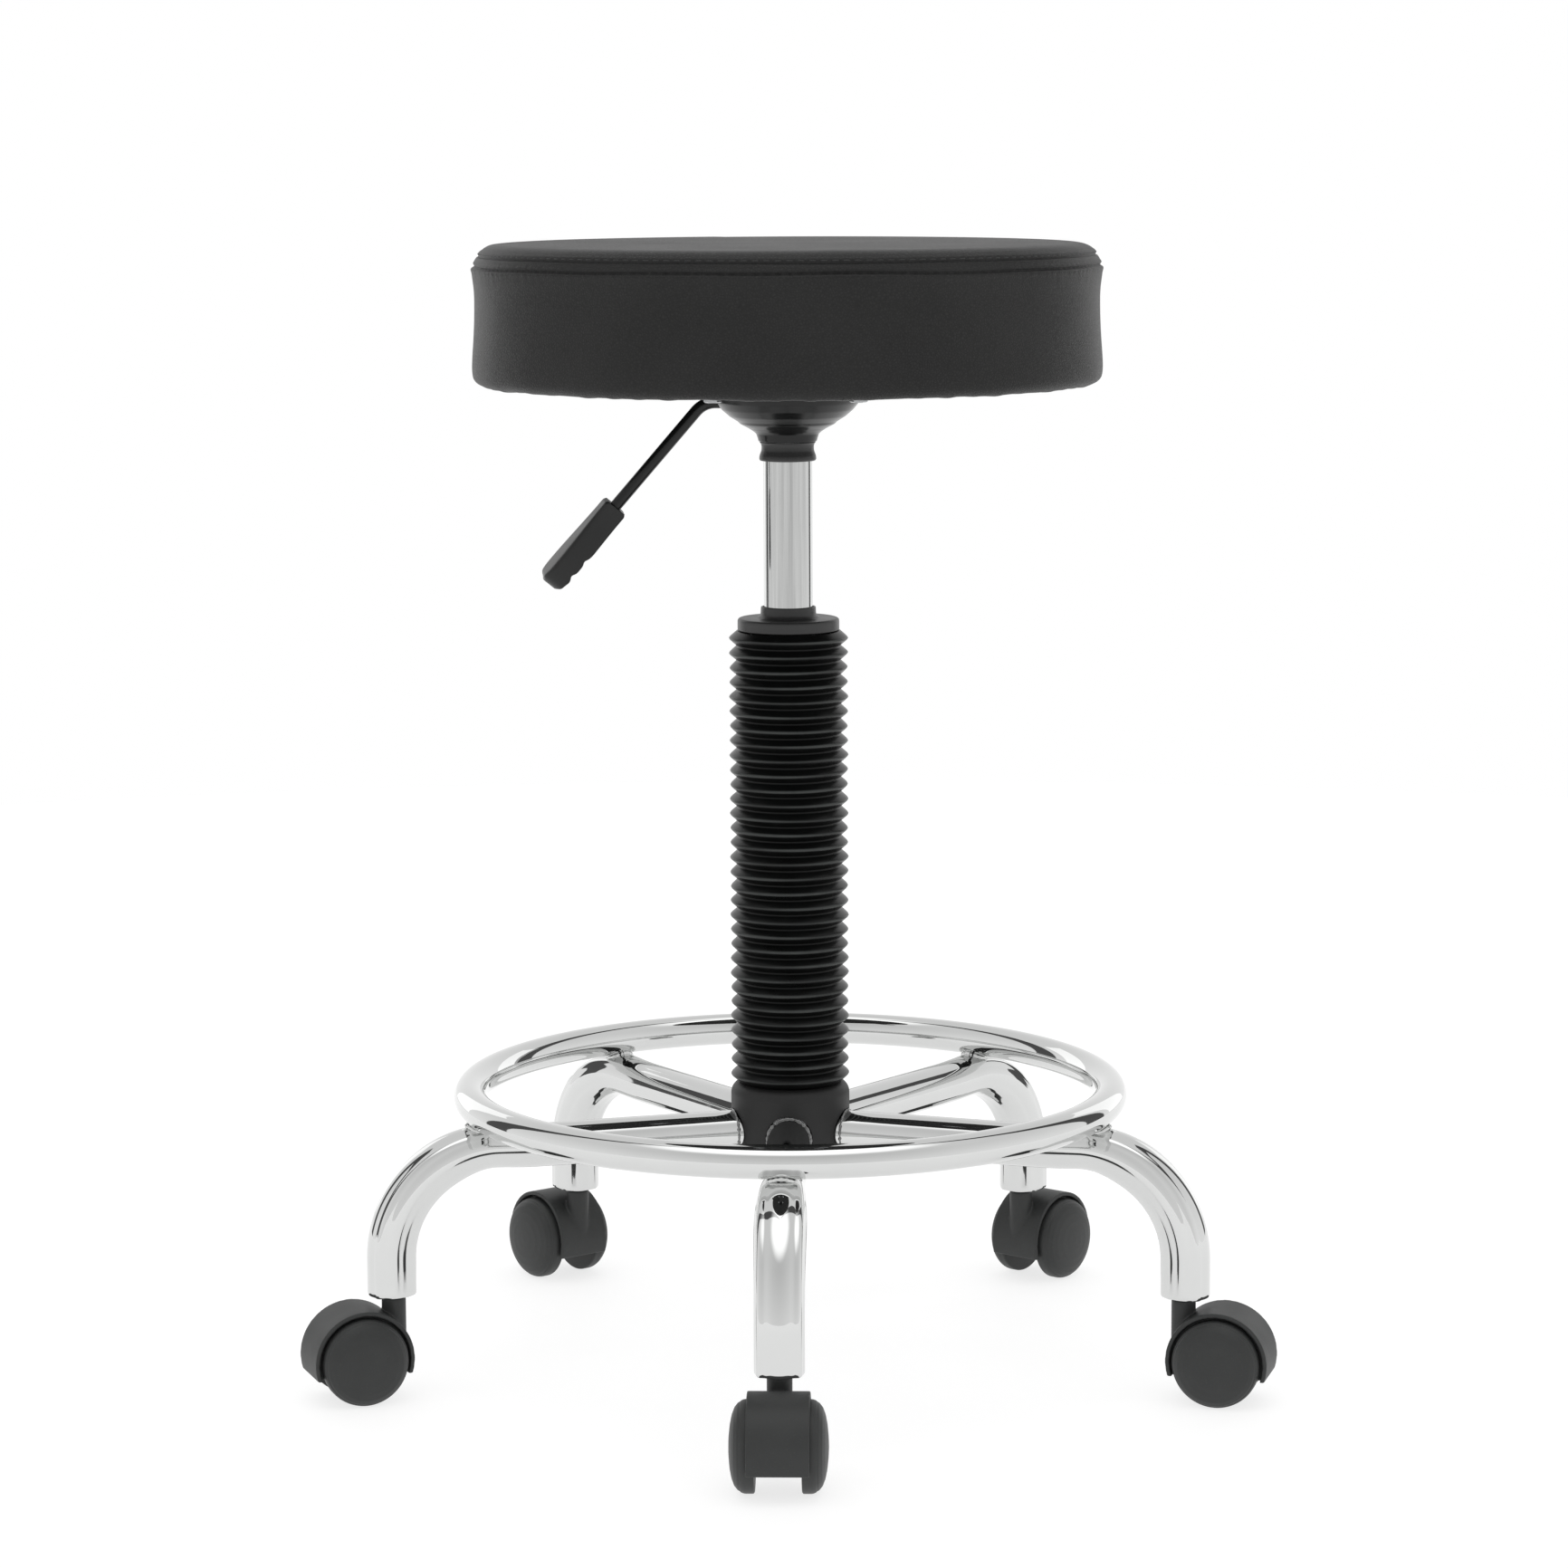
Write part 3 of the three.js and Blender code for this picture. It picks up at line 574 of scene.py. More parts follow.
@dataclass(frozen=True)
class PlainSteel(Finish):
    """Zinc-plated steel with fine turning marks."""

    def surface(self, graph: Graph) -> Wire:
        """A metal with rings of fine lines along Z and a mottled plating."""
        at = graph.place()
        mottle = graph.noise(at, 6.0, 3.0)
        lines = graph.node("ShaderNodeTexWave", {"wave_type": "BANDS", "bands_direction": "Z"},
                           {"Vector": at, "Scale": 900.0, "Distortion": 1.5, "Detail": 2.0}, output=1)
        colour = graph.blend(mottle, tinted(self.colour, 0.8), self.colour)
        rough = self.roughness + 0.12 * (mottle - 0.5)
        return graph.coat(colour, rough, Metallic=1.0, Normal=graph.relief(lines, 0.02, 0.5))


@dataclass(frozen=True)
class GlossPaint(Finish):
    """Powder-coated steel with a slight orange peel."""

    peel: float = 1.6
    shine: float = 0.36

    def surface(self, graph: Graph) -> Wire:
        """A dark gloss with a soft relief and thin dust in broad clouds."""
        at = graph.place()
        peel = graph.noise(at, self.peel, 1.0)
        cloud = graph.noise(at, 18.0, 3.0)
        colour = graph.blend(cloud, tinted(self.colour, 0.8), tinted(self.colour, 1.3))
        rough = self.roughness + 0.08 * (cloud - 0.5)
        return graph.coat(colour, rough, Specular_IOR_Level=self.shine, Normal=graph.relief(peel, 0.03, 0.6))


@dataclass(frozen=True)
class MouldedPlastic(Finish):
    """Moulded plastic with a spark-eroded grain."""

    grain: float = 0.45
    depth: float = 0.03
    shine: float = 0.5

    def surface(self, graph: Graph) -> Wire:
        """A dark plastic with grain relief, gloss that drifts, and pale rubbed specks in the grain's tips."""
        at = graph.place()
        grain = graph.noise(at, self.grain, 2.0)
        cloud = graph.noise(at, 15.0, 3.0)
        specks = ((grain - 0.62) * 5.0).held()
        colour = graph.blend(0.5 * cloud + 0.5 * specks, tinted(self.colour, 0.72), tinted(self.colour, 1.6))
        rough = (self.roughness + 0.14 * (cloud - 0.5) - 0.05 * specks).held(0.05, 1.0)
        normal = graph.relief(grain, self.depth, 0.8)
        return graph.coat(colour, rough, Specular_IOR_Level=self.shine, Normal=normal)


@dataclass(frozen=True)
class Leatherette(Finish):
    """Upholstery leatherette with a fine pebble grain and soft creases."""

    pebble: float = 1.5
    shine: float = 0.24

    def surface(self, graph: Graph) -> Wire:
        """Pebbles from cell edges, finer pores, and gloss that is higher where the cover is rubbed."""
        at = graph.place()
        warp = graph.noise(at, 5.0, 2.0)
        inputs = {"Vector": at, "Scale": 1 / (self.pebble * MM), "Randomness": 1.0}
        edge = graph.node("ShaderNodeTexVoronoi", {"feature": "DISTANCE_TO_EDGE"}, inputs)
        pebbles = (edge * 3.2).held()
        pores = graph.noise(at, 0.35, 2.0)
        creases = graph.noise(at, 9.0, 4.0, 0.6)
        rubbed = graph.noise(at, 60.0, 3.0)
        height = 0.55 * pebbles + 0.2 * pores + 0.5 * creases + 0.1 * warp
        tone = (0.5 * pebbles + 0.5 * rubbed).held()
        colour = graph.blend(tone, tinted(self.colour, 0.55), tinted(self.colour, 1.7))
        rough = (self.roughness + 0.10 * (0.5 - rubbed) + 0.08 * (1 - pebbles)).held(0.1, 1.0)
        normal = graph.relief(height, 0.22, 0.9)
        return graph.coat(colour, rough, Specular_IOR_Level=self.shine, Normal=normal)


@dataclass(frozen=True)
class BootRubber(Finish):
    """Soft blow-moulded boot material: satin, with dust, a fine skin, and a painted highlight line on each
    ridge's tip.
    """

    shine: float = 0.18
    highlight_start: float = 33.6  # the distance from Z past which the ridges' tips are painted pale: a painted highlight
    highlight_full: float = 34.15
    highlight_gain: float = 20.0

    def surface(self, graph: Graph) -> Wire:
        """Near-black with a fine skin, paler where dust lies, and with a painted highlight on the ridges'
        tips.
        """
        at = graph.place()
        x, y, _ = graph.axes(at)
        reach = ((x * x + y * y) ** 0.5 - self.highlight_start * MM) * (1 / ((self.highlight_full - self.highlight_start) * MM))
        dust = graph.noise(at, 9.0, 4.0)
        skin = graph.noise(at, 0.6, 2.0)
        plain = graph.blend(dust, tinted(self.colour, 0.7), tinted(self.colour, 1.5))
        # painted highlight: the ridges' tips are painted pale in place of the light that catches them, more
        # strongly where dust lies
        rubbed = reach.held() * (0.55 + 0.7 * dust).held()
        colour = graph.blend(rubbed, plain, tinted(self.colour, self.highlight_gain))
        rough = (self.roughness + 0.15 * (dust - 0.5)).held(0.1, 1.0)
        normal = graph.relief(skin, 0.015, 0.7)
        return graph.coat(colour, rough, Specular_IOR_Level=self.shine, Normal=normal)


@dataclass(frozen=True)
class SewingThread(Finish):
    """Twisted bonded thread."""

    def surface(self, graph: Graph) -> Wire:
        """A dull thread with a fine twist in its relief."""
        at = graph.place()
        twist = graph.node("ShaderNodeTexWave", {"wave_type": "BANDS", "bands_direction": "DIAGONAL"},
                           {"Vector": at, "Scale": 700.0, "Distortion": 1.0}, output=1)
        colour = graph.blend(twist, tinted(self.colour, 0.6), tinted(self.colour, 1.3))
        return graph.coat(colour, self.roughness, Normal=graph.relief(twist, 0.08))


@dataclass(frozen=True)
class Plywood(Finish):
    """Raw birch board."""

    def surface(self, graph: Graph) -> Wire:
        """Long grain along X from a stretched, distorted noise."""
        inputs = {"Vector": graph.place(), "Scale": (0.08, 1.0, 1.0)}
        stretched = graph.node("ShaderNodeMapping", None, inputs)
        grain = graph.noise(stretched, 3.0, 6.0, 0.6)
        colour = graph.blend(grain, tinted(self.colour, 0.6), tinted(self.colour, 1.2))
        return graph.coat(colour, 0.6 + 0.2 * grain, Normal=graph.relief(grain, 0.1, 0.5))


@dataclass(frozen=True)
class SpunFabric(Finish):
    """Thin bonded fibre fabric for the seat's underside."""

    def surface(self, graph: Graph) -> Wire:
        """A felted surface from two noises, with small bonded dots."""
        at = graph.place()
        fibres = graph.noise(at, 0.5, 5.0, 0.7)
        inputs = {"Vector": at, "Scale": 700.0, "Randomness": 0.0}
        dots = graph.node("ShaderNodeTexVoronoi", {"feature": "F1"}, inputs)
        colour = graph.blend(fibres, tinted(self.colour, 0.6), tinted(self.colour, 1.8))
        normal = graph.relief(fibres + 0.5 * (dots * 2).held(), 0.12)
        return graph.coat(colour, 0.85 + 0.1 * fibres, Normal=normal)


@dataclass(frozen=True)
class StudioFloor(Finish):
    """Pale painted floor that is lit a little from below."""

    glow: float = 0.76

    def surface(self, graph: Graph) -> Wire:
        """A matt white with faint unevenness."""
        cloud = graph.noise(graph.place(), 180.0, 3.0)
        colour = graph.blend(cloud, tinted(self.colour, 0.99), self.colour)
        return graph.coat(colour, self.roughness, Emission_Color=(1.0, 1.0, 1.0, 1.0),
                          Emission_Strength=self.glow, Specular_IOR_Level=0.2)


CHROME = ChromePlate("polished_chrome", (0.69, 0.695, 0.69, 1.0), 0.03)
GROUND_CHROME = GroundChrome("ground_chrome", (0.58, 0.585, 0.58, 1.0), 0.06)
STEEL = PlainSteel("bright_zinc_steel", (0.60, 0.61, 0.62, 1.0), 0.32)
# the hub welds' chrome is painted dark grey: painted shade standing in for the black hub and legs that the
# beads reflect
SHADED_WELD_CHROME = ChromePlate("weld_bead", (0.22, 0.22, 0.22, 1.0), 0.10)
BLACK_PAINT = GlossPaint("black_powder_coat", (0.0032, 0.0035, 0.0035, 1.0), 0.22)
COVER_PLASTIC = MouldedPlastic("hub_cover_plastic", (0.017, 0.017, 0.017, 1.0), 0.50, 0.6, 0.03, 0.32)
CAP_PLASTIC = MouldedPlastic("boot_cap_plastic", (0.028, 0.028, 0.028, 1.0), 0.40, 0.6, 0.02, 0.45)
BUSH_PLASTIC = MouldedPlastic("guide_bush_plastic", (0.03, 0.03, 0.03, 1.0), 0.4)
HANDLE_PLASTIC = MouldedPlastic("grained_handle_plastic", (0.011, 0.0115, 0.0113, 1.0), 0.38, 0.6, 0.03, 0.36)
CASTER_PLASTIC = MouldedPlastic("grained_caster_plastic", (0.031, 0.0325, 0.032, 1.0), 0.5, 0.8, 0.08, 0.36)
BOOT = BootRubber("satin_boot_rubber", (0.0025, 0.0027, 0.0026, 1.0), 0.30)
# the buffer's painted highlight band starts far outside it, so none is painted on it
BUFFER_RUBBER = BootRubber("buffer_rubber", (0.012, 0.012, 0.012, 1.0), 0.7, highlight_start=400.0, highlight_full=500.0)
LEATHER = Leatherette("black_leatherette", (0.0132, 0.0132, 0.0129, 1.0), 0.42)
THREAD = SewingThread("black_thread", (0.018, 0.018, 0.018, 1.0), 0.55)
PLYWOOD = Plywood("raw_plywood", (0.45, 0.30, 0.16, 1.0), 0.65)
DUST_FABRIC = SpunFabric("spun_fabric", (0.010, 0.010, 0.010, 1.0), 0.9)
FLOOR = StudioFloor("studio_floor", (0.30, 0.30, 0.30, 1.0), 0.7)


# ---------------------------------------------------------------- pieces
class Body(Enum):
    """The bodies of the frame that pieces ride on."""

    BASE = "base"
    CAP = "bellows_cap"
    SEAT = "seat"
    LEVER = "lever"


def fit(mesh: bpy.types.Mesh, name: str, body: str, finish: Finish,
        replaced: Sequence[str] = ()) -> bpy.types.Object:
    """Put a finished mesh on its body.

    Args:
        mesh: the piece's mesh.
        name: the piece's name.
        body: the body it rides on.
        finish: its finish.
        replaced: the frame's nodes that it stands for.

    Returns:
        The piece.
    """
    piece = new_object(name, mesh)
    mesh.materials.clear()
    mesh.materials.append(finish.material())
    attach(piece, body)
    if replaced:
        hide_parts(*replaced)
    log.info("%s rides on %s with %d faces", name, body, len(mesh.polygons))
    return piece


def leg_turns() -> np.ndarray:
    """The direction of each leg about Z in degrees; the first one points along -Y."""
    return -90.0 + 360.0 / LEG_COUNT * np.arange(LEG_COUNT)


@dataclass
class SeatCushion:
    """The round padded seat: cover, seams and stitching over foam and board."""

    bottom: float = span("seat_cover", 2)[0]
    top: float = span("seat_cover", 2)[1]
    columns: int = 720
    stitch_count: int = 180
    stitch_length: float = 4.3
    thread_radius: float = 0.34
    stitch_above_seam: float = 1.5
    seam_depth: float = 1.5
    top_seam_depth: float = 1.0
    inset: float = 2.0  # how much smaller the padding starts before it swells
    voxel: float = 5.0
    pad_sides: int = 120
    pinned_height: float = 3.5  # the padding is held to the board below this
    pinned_radius: float = 160.0
    pressure: float = 4.0
    stiffness: float = 18.0
    bending: float = 0.6
    cloth_steps: int = 20
    most_swell: float = 6.0
    swell_kept: float = 1.4  # the most that the swelling may differ from its average
    smoothest: float = 9.0  # waves round the seat past which the swelling is smoothed away
    top_share: float = 0.07  # how much of the swelling shows on the flat top
    knots: Sequence[tuple[float, float]] = (
        (0, 654.55), (60, 654.7), (120, 654.65), (150, 654.5), (164.5, 654.25), (171.3, 652.9),
        (175.2, 650.4), (176.7, 648.3), (177.6, 645.4), (178.0, 642.0), (177.8, 638.0), (177.4, 627.0),
        (178.1, 606.0), (179.2, 590.0), (179.3, 582.6), (178.2, 578.0), (174.6, 575.2), (169.0, 574.6),
        (160.0, 574.7), (150.6, 574.9), (149.9, 575.5), (120, 575.95), (0, 575.95))
    edge_knot: int = 15
    rows_between: Sequence[int] = (5, 5, 4, 5, 5, 5, 5, 6, 6, 6, 9, 12, 9, 6, 5, 5, 6, 7, 8, 2, 3, 3)
    top_seam_knot: int = 7
    low_seam_knot: int = 9

    def profile(self) -> np.ndarray:
        """The cover's (radius, z) outline from the top's middle, round the side and under to the middle."""
        at = np.concatenate([i + np.arange(n) / n for i, n in enumerate(self.rows_between)]
                            + [[len(self.knots) - 1.0]])
        outline = curve_through(self.knots, at)
        outline[:, 0] = np.maximum(outline[:, 0], 0)
        return outline

    def knot_row(self, knot: int) -> int:
        """The row of the grid that lies on a knot of the outline."""
        return int(sum(self.rows_between[:knot]))

    def swollen(self) -> bpy.types.Object:
        """Blow up a slightly smaller, unevenly filled pad with the cloth solver, pinned over the board.

        Returns:
            A helper object with the swollen mesh.
        """
        outline = self.profile()[::2]
        middle_z = (self.top + self.bottom) / 2
        radius = outline[:, 0] * (1 - self.inset / outline[:, 0].max())
        z = middle_z + (outline[:, 1] - middle_z) * (1 - 2 * self.inset / (self.top - self.bottom))
        grid = turned(np.stack([radius, z], axis=1), self.pad_sides)
        ragged = waves(around(self.pad_sides), (3, 5, 8, 13, 21), 11)
        dent = 1 + 0.006 * ragged[None, :, None] * np.array([1.0, 1.0, 0.0])
        source = new_object("pad_start", mesh_of_grid(grid * dent))
        remesh = source.modifiers.new("voxels", "REMESH")
        remesh.mode = "VOXEL"
        remesh.voxel_size = self.voxel * MM
        pad = new_object("pad_swollen", settled(source))
        rest = pad.data.copy()
        before = positions(rest)
        held = ((before[:, 2] < self.bottom + self.pinned_height)
                & (np.hypot(before[:, 0], before[:, 1]) < self.pinned_radius))
        pins = pad.vertex_groups.new(name="board")
        pins.add(np.nonzero(held)[0].tolist(), 1.0, "REPLACE")
        cloth = pad.modifiers.new("pad", "CLOTH")
        cloth.settings.vertex_group_mass = "board"
        cloth.settings.use_pressure = True
        cloth.settings.uniform_pressure_force = self.pressure
        cloth.settings.tension_stiffness = self.stiffness
        cloth.settings.compression_stiffness = self.stiffness
        cloth.settings.bending_stiffness = self.bending
        cloth.settings.effector_weights.gravity = 0.0
        for step in range(1, self.cloth_steps + 1):
            bpy.context.scene.frame_set(step)
        moved = positions(settled(pad))
        bpy.context.scene.frame_set(1)
        shift = moved - before
        size = np.linalg.norm(shift, axis=1)[:, None]
        after = before + shift * np.minimum(1, self.most_swell / np.maximum(size, 1e-6))
        log.info("the padding swelled by %.1f mm at most", float(size.max()))
        swollen = new_object("pad_swollen", rest)
        set_positions(swollen.data, after)
        return swollen

    def unevenness(self, grid: np.ndarray, outward: np.ndarray) -> np.ndarray:
        """How far the swollen pad stands out of the even shape, less the average of each row.

        Round each row only the broad waves are kept, by fading out the higher terms of its Fourier series;
        then neighbouring rows are averaged.

        Args:
            grid: the even shape.
            outward: its outward directions.

        Returns:
            A distance for each point of the grid.
        """
        pad = self.swollen()
        cover = new_object("cover_wrap", bpy.data.meshes.new("cover_wrap"))
        faces = grid_faces(grid.shape[0], self.columns, False, True)
        cover.data.from_pydata((grid.reshape(-1, 3) * MM).tolist(), [], faces.tolist())
        wrap = cover.modifiers.new("wrap", "SHRINKWRAP")
        wrap.target = pad
        wrap.wrap_method = "NEAREST_SURFACEPOINT"
        wrapped = positions(settled(cover)).reshape(grid.shape)
        bpy.data.objects.remove(pad)
        out = np.sum((wrapped - grid) * outward, axis=-1)
        broad = np.fft.rfft(out, axis=1)
        order = np.arange(broad.shape[1])
        broad *= np.exp(-(order / self.smoothest) ** 2) * (order > 0)
        spread = np.fft.irfft(broad, n=self.columns, axis=1)
        window = np.hanning(9) / np.hanning(9).sum()
        ends = [np.repeat(row, 4, axis=0) for row in (spread[:1], spread[-1:])]
        padded = np.concatenate([ends[0], spread, ends[1]])
        smooth = sum(w * padded[k:k + len(spread)] for k, w in enumerate(window))
        return np.clip(smooth, -self.swell_kept, self.swell_kept)

    def seam_relief(self, run: np.ndarray, angle: np.ndarray, top_seam: float, low_seam: float) -> np.ndarray:
        """How far sewing moves the cover outwards.

        Each seam is a narrow bell-shaped groove between two low swells; stitches dimple the upper one and
        pucker the lower one, whose line also wanders. Under the lower seam short wrinkles die away.

        Args:
            run: each row's distance along the outline.
            angle: each column's angle in radians.
            top_seam: where the upper seam lies along the outline.
            low_seam: where the lower seam lies.

        Returns:
            A distance for each point of the grid.
        """
        pulse = np.cos(self.stitch_count * angle)[None, :]
        upper = run[:, None] - top_seam - 0.25 * waves(angle, (2, 5, 9), 21)[None, :]
        lower = run[:, None] - low_seam - 0.9 * waves(angle, (3, 4, 7, 11), 22)[None, :]
        relief = -self.top_seam_depth * bump(upper, 0.0, 0.6)
        relief += 0.32 * bump(upper, 2.1, 1.5) + 0.30 * bump(upper, -2.6, 1.3)
        relief -= 0.20 * bump(upper, -self.stitch_above_seam, 0.7) * (0.6 + 0.4 * pulse)
        relief -= self.seam_depth * (1 + 0.18 * pulse) * bump(lower, 0.0, 0.75)
        relief += (0.34 + 0.09 * pulse) * (bump(lower, -1.7, 1.3) + bump(lower, 1.9, 1.7))
        wrinkles = waves(angle, (88, 117, 149, 173), 23)[None, :] * np.exp(-np.abs(lower) / 5.0)
        return relief + 0.22 * wrinkles * (lower > 0)

    def gathers(self, run: np.ndarray, angle: np.ndarray, edge: float) -> np.ndarray:
        """How far the cover's gathers stand out where it is pulled under the board.

        Ragged waves round the seat grow from the lower side of the edge towards the hem.

        Args:
            run: each row's distance along the outline.
            angle: each column's angle in radians.
            edge: where the bottom edge lies along the outline.

        Returns:
            A distance for each point of the grid.
        """
        onset = smooth_step(run, edge - 14.0, edge + 10.0)[:, None]
        broad = 0.55 * waves(angle, (9, 17, 23, 31), 31)[None, :]
        narrow = 0.8 * np.maximum(waves(angle, (41, 57, 68), 32), 0)[None, :]
        hanging = smooth_step(run, edge + 1.0, edge + 8.0)[:, None]
        return onset * broad + hanging * narrow

    def build(self) -> None:
        """Make the cover from its grid, and the stitches along its upper seam."""
        outline = self.profile()
        angle = around(self.columns)
        grid = turned(outline, self.columns)
        slope = np.gradient(outline, axis=0)
        slope /= np.linalg.norm(slope, axis=1)[:, None]
        out_r, out_z = -slope[:, 1:], slope[:, :1]
        cos, sin = np.cos(angle)[None, :], np.sin(angle)[None, :]
        outward = np.stack([out_r * cos, out_r * sin, np.broadcast_to(out_z, grid.shape[:2])], axis=-1)
        run = np.concatenate([[0], np.cumsum(np.linalg.norm(np.diff(outline, axis=0), axis=1))])
        knots = (self.top_seam_knot, self.low_seam_knot, self.edge_knot)
        top_seam, low_seam, edge = (run[self.knot_row(knot)] for knot in knots)
        off_top = smooth_step(run, top_seam - 14.0, top_seam + 10.0)
        fade = (self.top_share + (1 - self.top_share) * off_top)[:, None]
        fade = fade * smooth_step(outline[:, 0], 5.0, 90.0)[:, None]
        hidden = (run > edge + 22.0)[:, None]
        relief = self.unevenness(grid, outward) * fade
        relief = relief + self.seam_relief(run, angle, top_seam, low_seam) + self.gathers(run, angle, edge)
        grid = grid + outward * np.where(hidden, 0.0, relief)[..., None]
        self.cover = mesh_of_grid(grid, sharp=180.0)
        row = int(np.argmin(np.abs(run - (top_seam - self.stitch_above_seam))))
        self.stitches = self.stitching(grid, outward, row)

    def stitching(self, grid: np.ndarray, outward: np.ndarray, row: int) -> bpy.types.Mesh:
        """One short bowed thread for each stitch, laid along a row of the cover.

        A thread's radius falls to nothing at its ends, which dip into the cover.

        Args:
            grid: the finished cover.
            outward: its outward directions.
            row: the row that the stitches follow.

        Returns:
            The mesh of all stitches.
        """
        along = np.linspace(-1, 1, 9)[:, None]
        round_it = circle(1.0, 6)[None, :, :]
        thick = self.thread_radius * np.sqrt(np.maximum(1 - along ** 6, 0))
        shape = np.stack([np.broadcast_to(along * self.stitch_length / 2, (9, 6)),
                          thick * round_it[..., 0],
                          thick * round_it[..., 1] + 0.12 - 0.34 * along ** 2], axis=-1)
        columns = np.arange(self.stitch_count) * (self.columns // self.stitch_count)
        ahead = grid[row, (columns + 1) % self.columns] - grid[row, columns - 1]
        ahead /= np.linalg.norm(ahead, axis=1)[:, None]
        up = outward[row, columns]
        frames = np.stack([ahead, np.cross(up, ahead), up], axis=1)
        faces = grid_faces(9, 6, False, True)
        return mesh_from(*copies_of(shape.reshape(-1, 3), faces, grid[row, columns], frames), 60.0)

    def dress(self) -> None:
        """Put the cover and its stitching on the seat."""
        cover = fit(self.cover, "seat_cushion", Body.SEAT.value, LEATHER,
                    ("seat_cover", "seat_foam"))
        fit(self.stitches, "seat_stitching", Body.SEAT.value, THREAD)


@dataclass
class SeatMount:
    """The pressed bowl and flange under the seat, its collar and its bolts."""

    flange: float = 571.5
    wall: float = 2.4
    bowl_outline: Sequence[tuple[float, float]] = (
        (14.6, 541.6), (16.7, 541.6), (17.2, 543.6), (18.0, 546.0), (19.6, 547.4), (22.4, 549.2),
        (27.0, 551.6), (28.4, 553.0), (33.2, 556.0), (37.6, 559.8), (41.1, 564.0), (43.3, 568.2),
        (45.6, 571.0), (49.0, 571.6), (70.6, 571.6), (72.0, 572.9))
    bowl_sides: int = 180
    slot_half_width: float = 5.4  # of the lever's opening
    slot_low: float = 557.6
    slot_high: float = 569.6
    bolt_circle: float = 58.0
    bolt_count: int = 4
    collar_outline: Sequence[tuple[float, float]] = (
        (14.4, 530.6), (15.9, 530.6), (16.4, 531.6), (16.2, 533.4), (15.1, 536.4), (14.95, 538.6),
        (15.3, 540.3), (16.3, 541.3), (14.4, 541.35))

    def build(self) -> None:
        """Make the bowl, the collar and the bolts."""
        outline = softened(self.bowl_outline, 0.6, 4)
        rows = turned(supported(outline, 0.4), self.bowl_sides)
        faces = grid_faces(rows.shape[0], self.bowl_sides, False, True)
        x, y, z = rows.reshape(-1, 3)[faces].mean(axis=1).T
        in_slot = (x < -30) & (np.abs(y) < self.slot_half_width) & (z > self.slot_low) & (z < self.slot_high)
        shell = new_object("bowl_shell", mesh_from(rows.reshape(-1, 3), faces[~in_slot], 50.0, outward=False))
        thick = shell.modifiers.new("wall", "SOLIDIFY")
        thick.thickness = self.wall * MM
        thick.offset = -1.0
        thick.use_even_offset = True
        self.bowl = settled(shell)
        self.collar = mesh_of_grid(turned(softened(self.collar_outline, 0.7, 4)), rows_close=True)
        self.bolts = self.bolt_mesh()

    def bolt_mesh(self) -> bpy.types.Mesh:
        """Hexagon-headed bolts with washers, up through the flange.

        The head is a six-sided turned shape with a chamfered face; washer and shank are round.
        """
        top = self.flange - 0.3
        head = turned(np.array([[0, top - 5.2], [4.2, top - 5.2], [5.2, top - 4.6], [5.2, top - 1.5],
                                [0, top - 1.5]]), 6)
        washer = turned(np.array([[0, top - 1.5], [7.4, top - 1.5], [7.6, top - 1.2], [7.6, top], [2.9, top],
                                  [2.9, top + 12.5], [0, top + 12.5]]), 28)
        angles = math.pi / self.bolt_count + around(self.bolt_count)
        places = self.bolt_circle * np.stack([np.cos(angles), np.sin(angles), 0 * angles], axis=1)
        frames = np.broadcast_to(np.eye(3), (self.bolt_count, 3, 3))
        parts = [copies_of(part.reshape(-1, 3), grid_faces(*part.shape[:2], False, True), places, frames)
                 for part in (head, washer)]
        shift = len(parts[0][0])
        return mesh_from(np.concatenate([parts[0][0], parts[1][0]]),
                         np.concatenate([parts[0][1], parts[1][1] + shift]), 30.0)

    def dress(self) -> None:
        """Put the mount on the seat."""
        fit(self.bowl, "seat_bowl", Body.SEAT.value, BLACK_PAINT, ("seat_plate",))
        fit(self.collar, "cylinder_collar", Body.SEAT.value, CAP_PLASTIC, ("plate_collar",))
        names = [f"seat_bolt_{number}" for number in range(1, self.bolt_count + 1)]
        fit(self.bolts, "flange_bolts", Body.SEAT.value, STEEL, names)


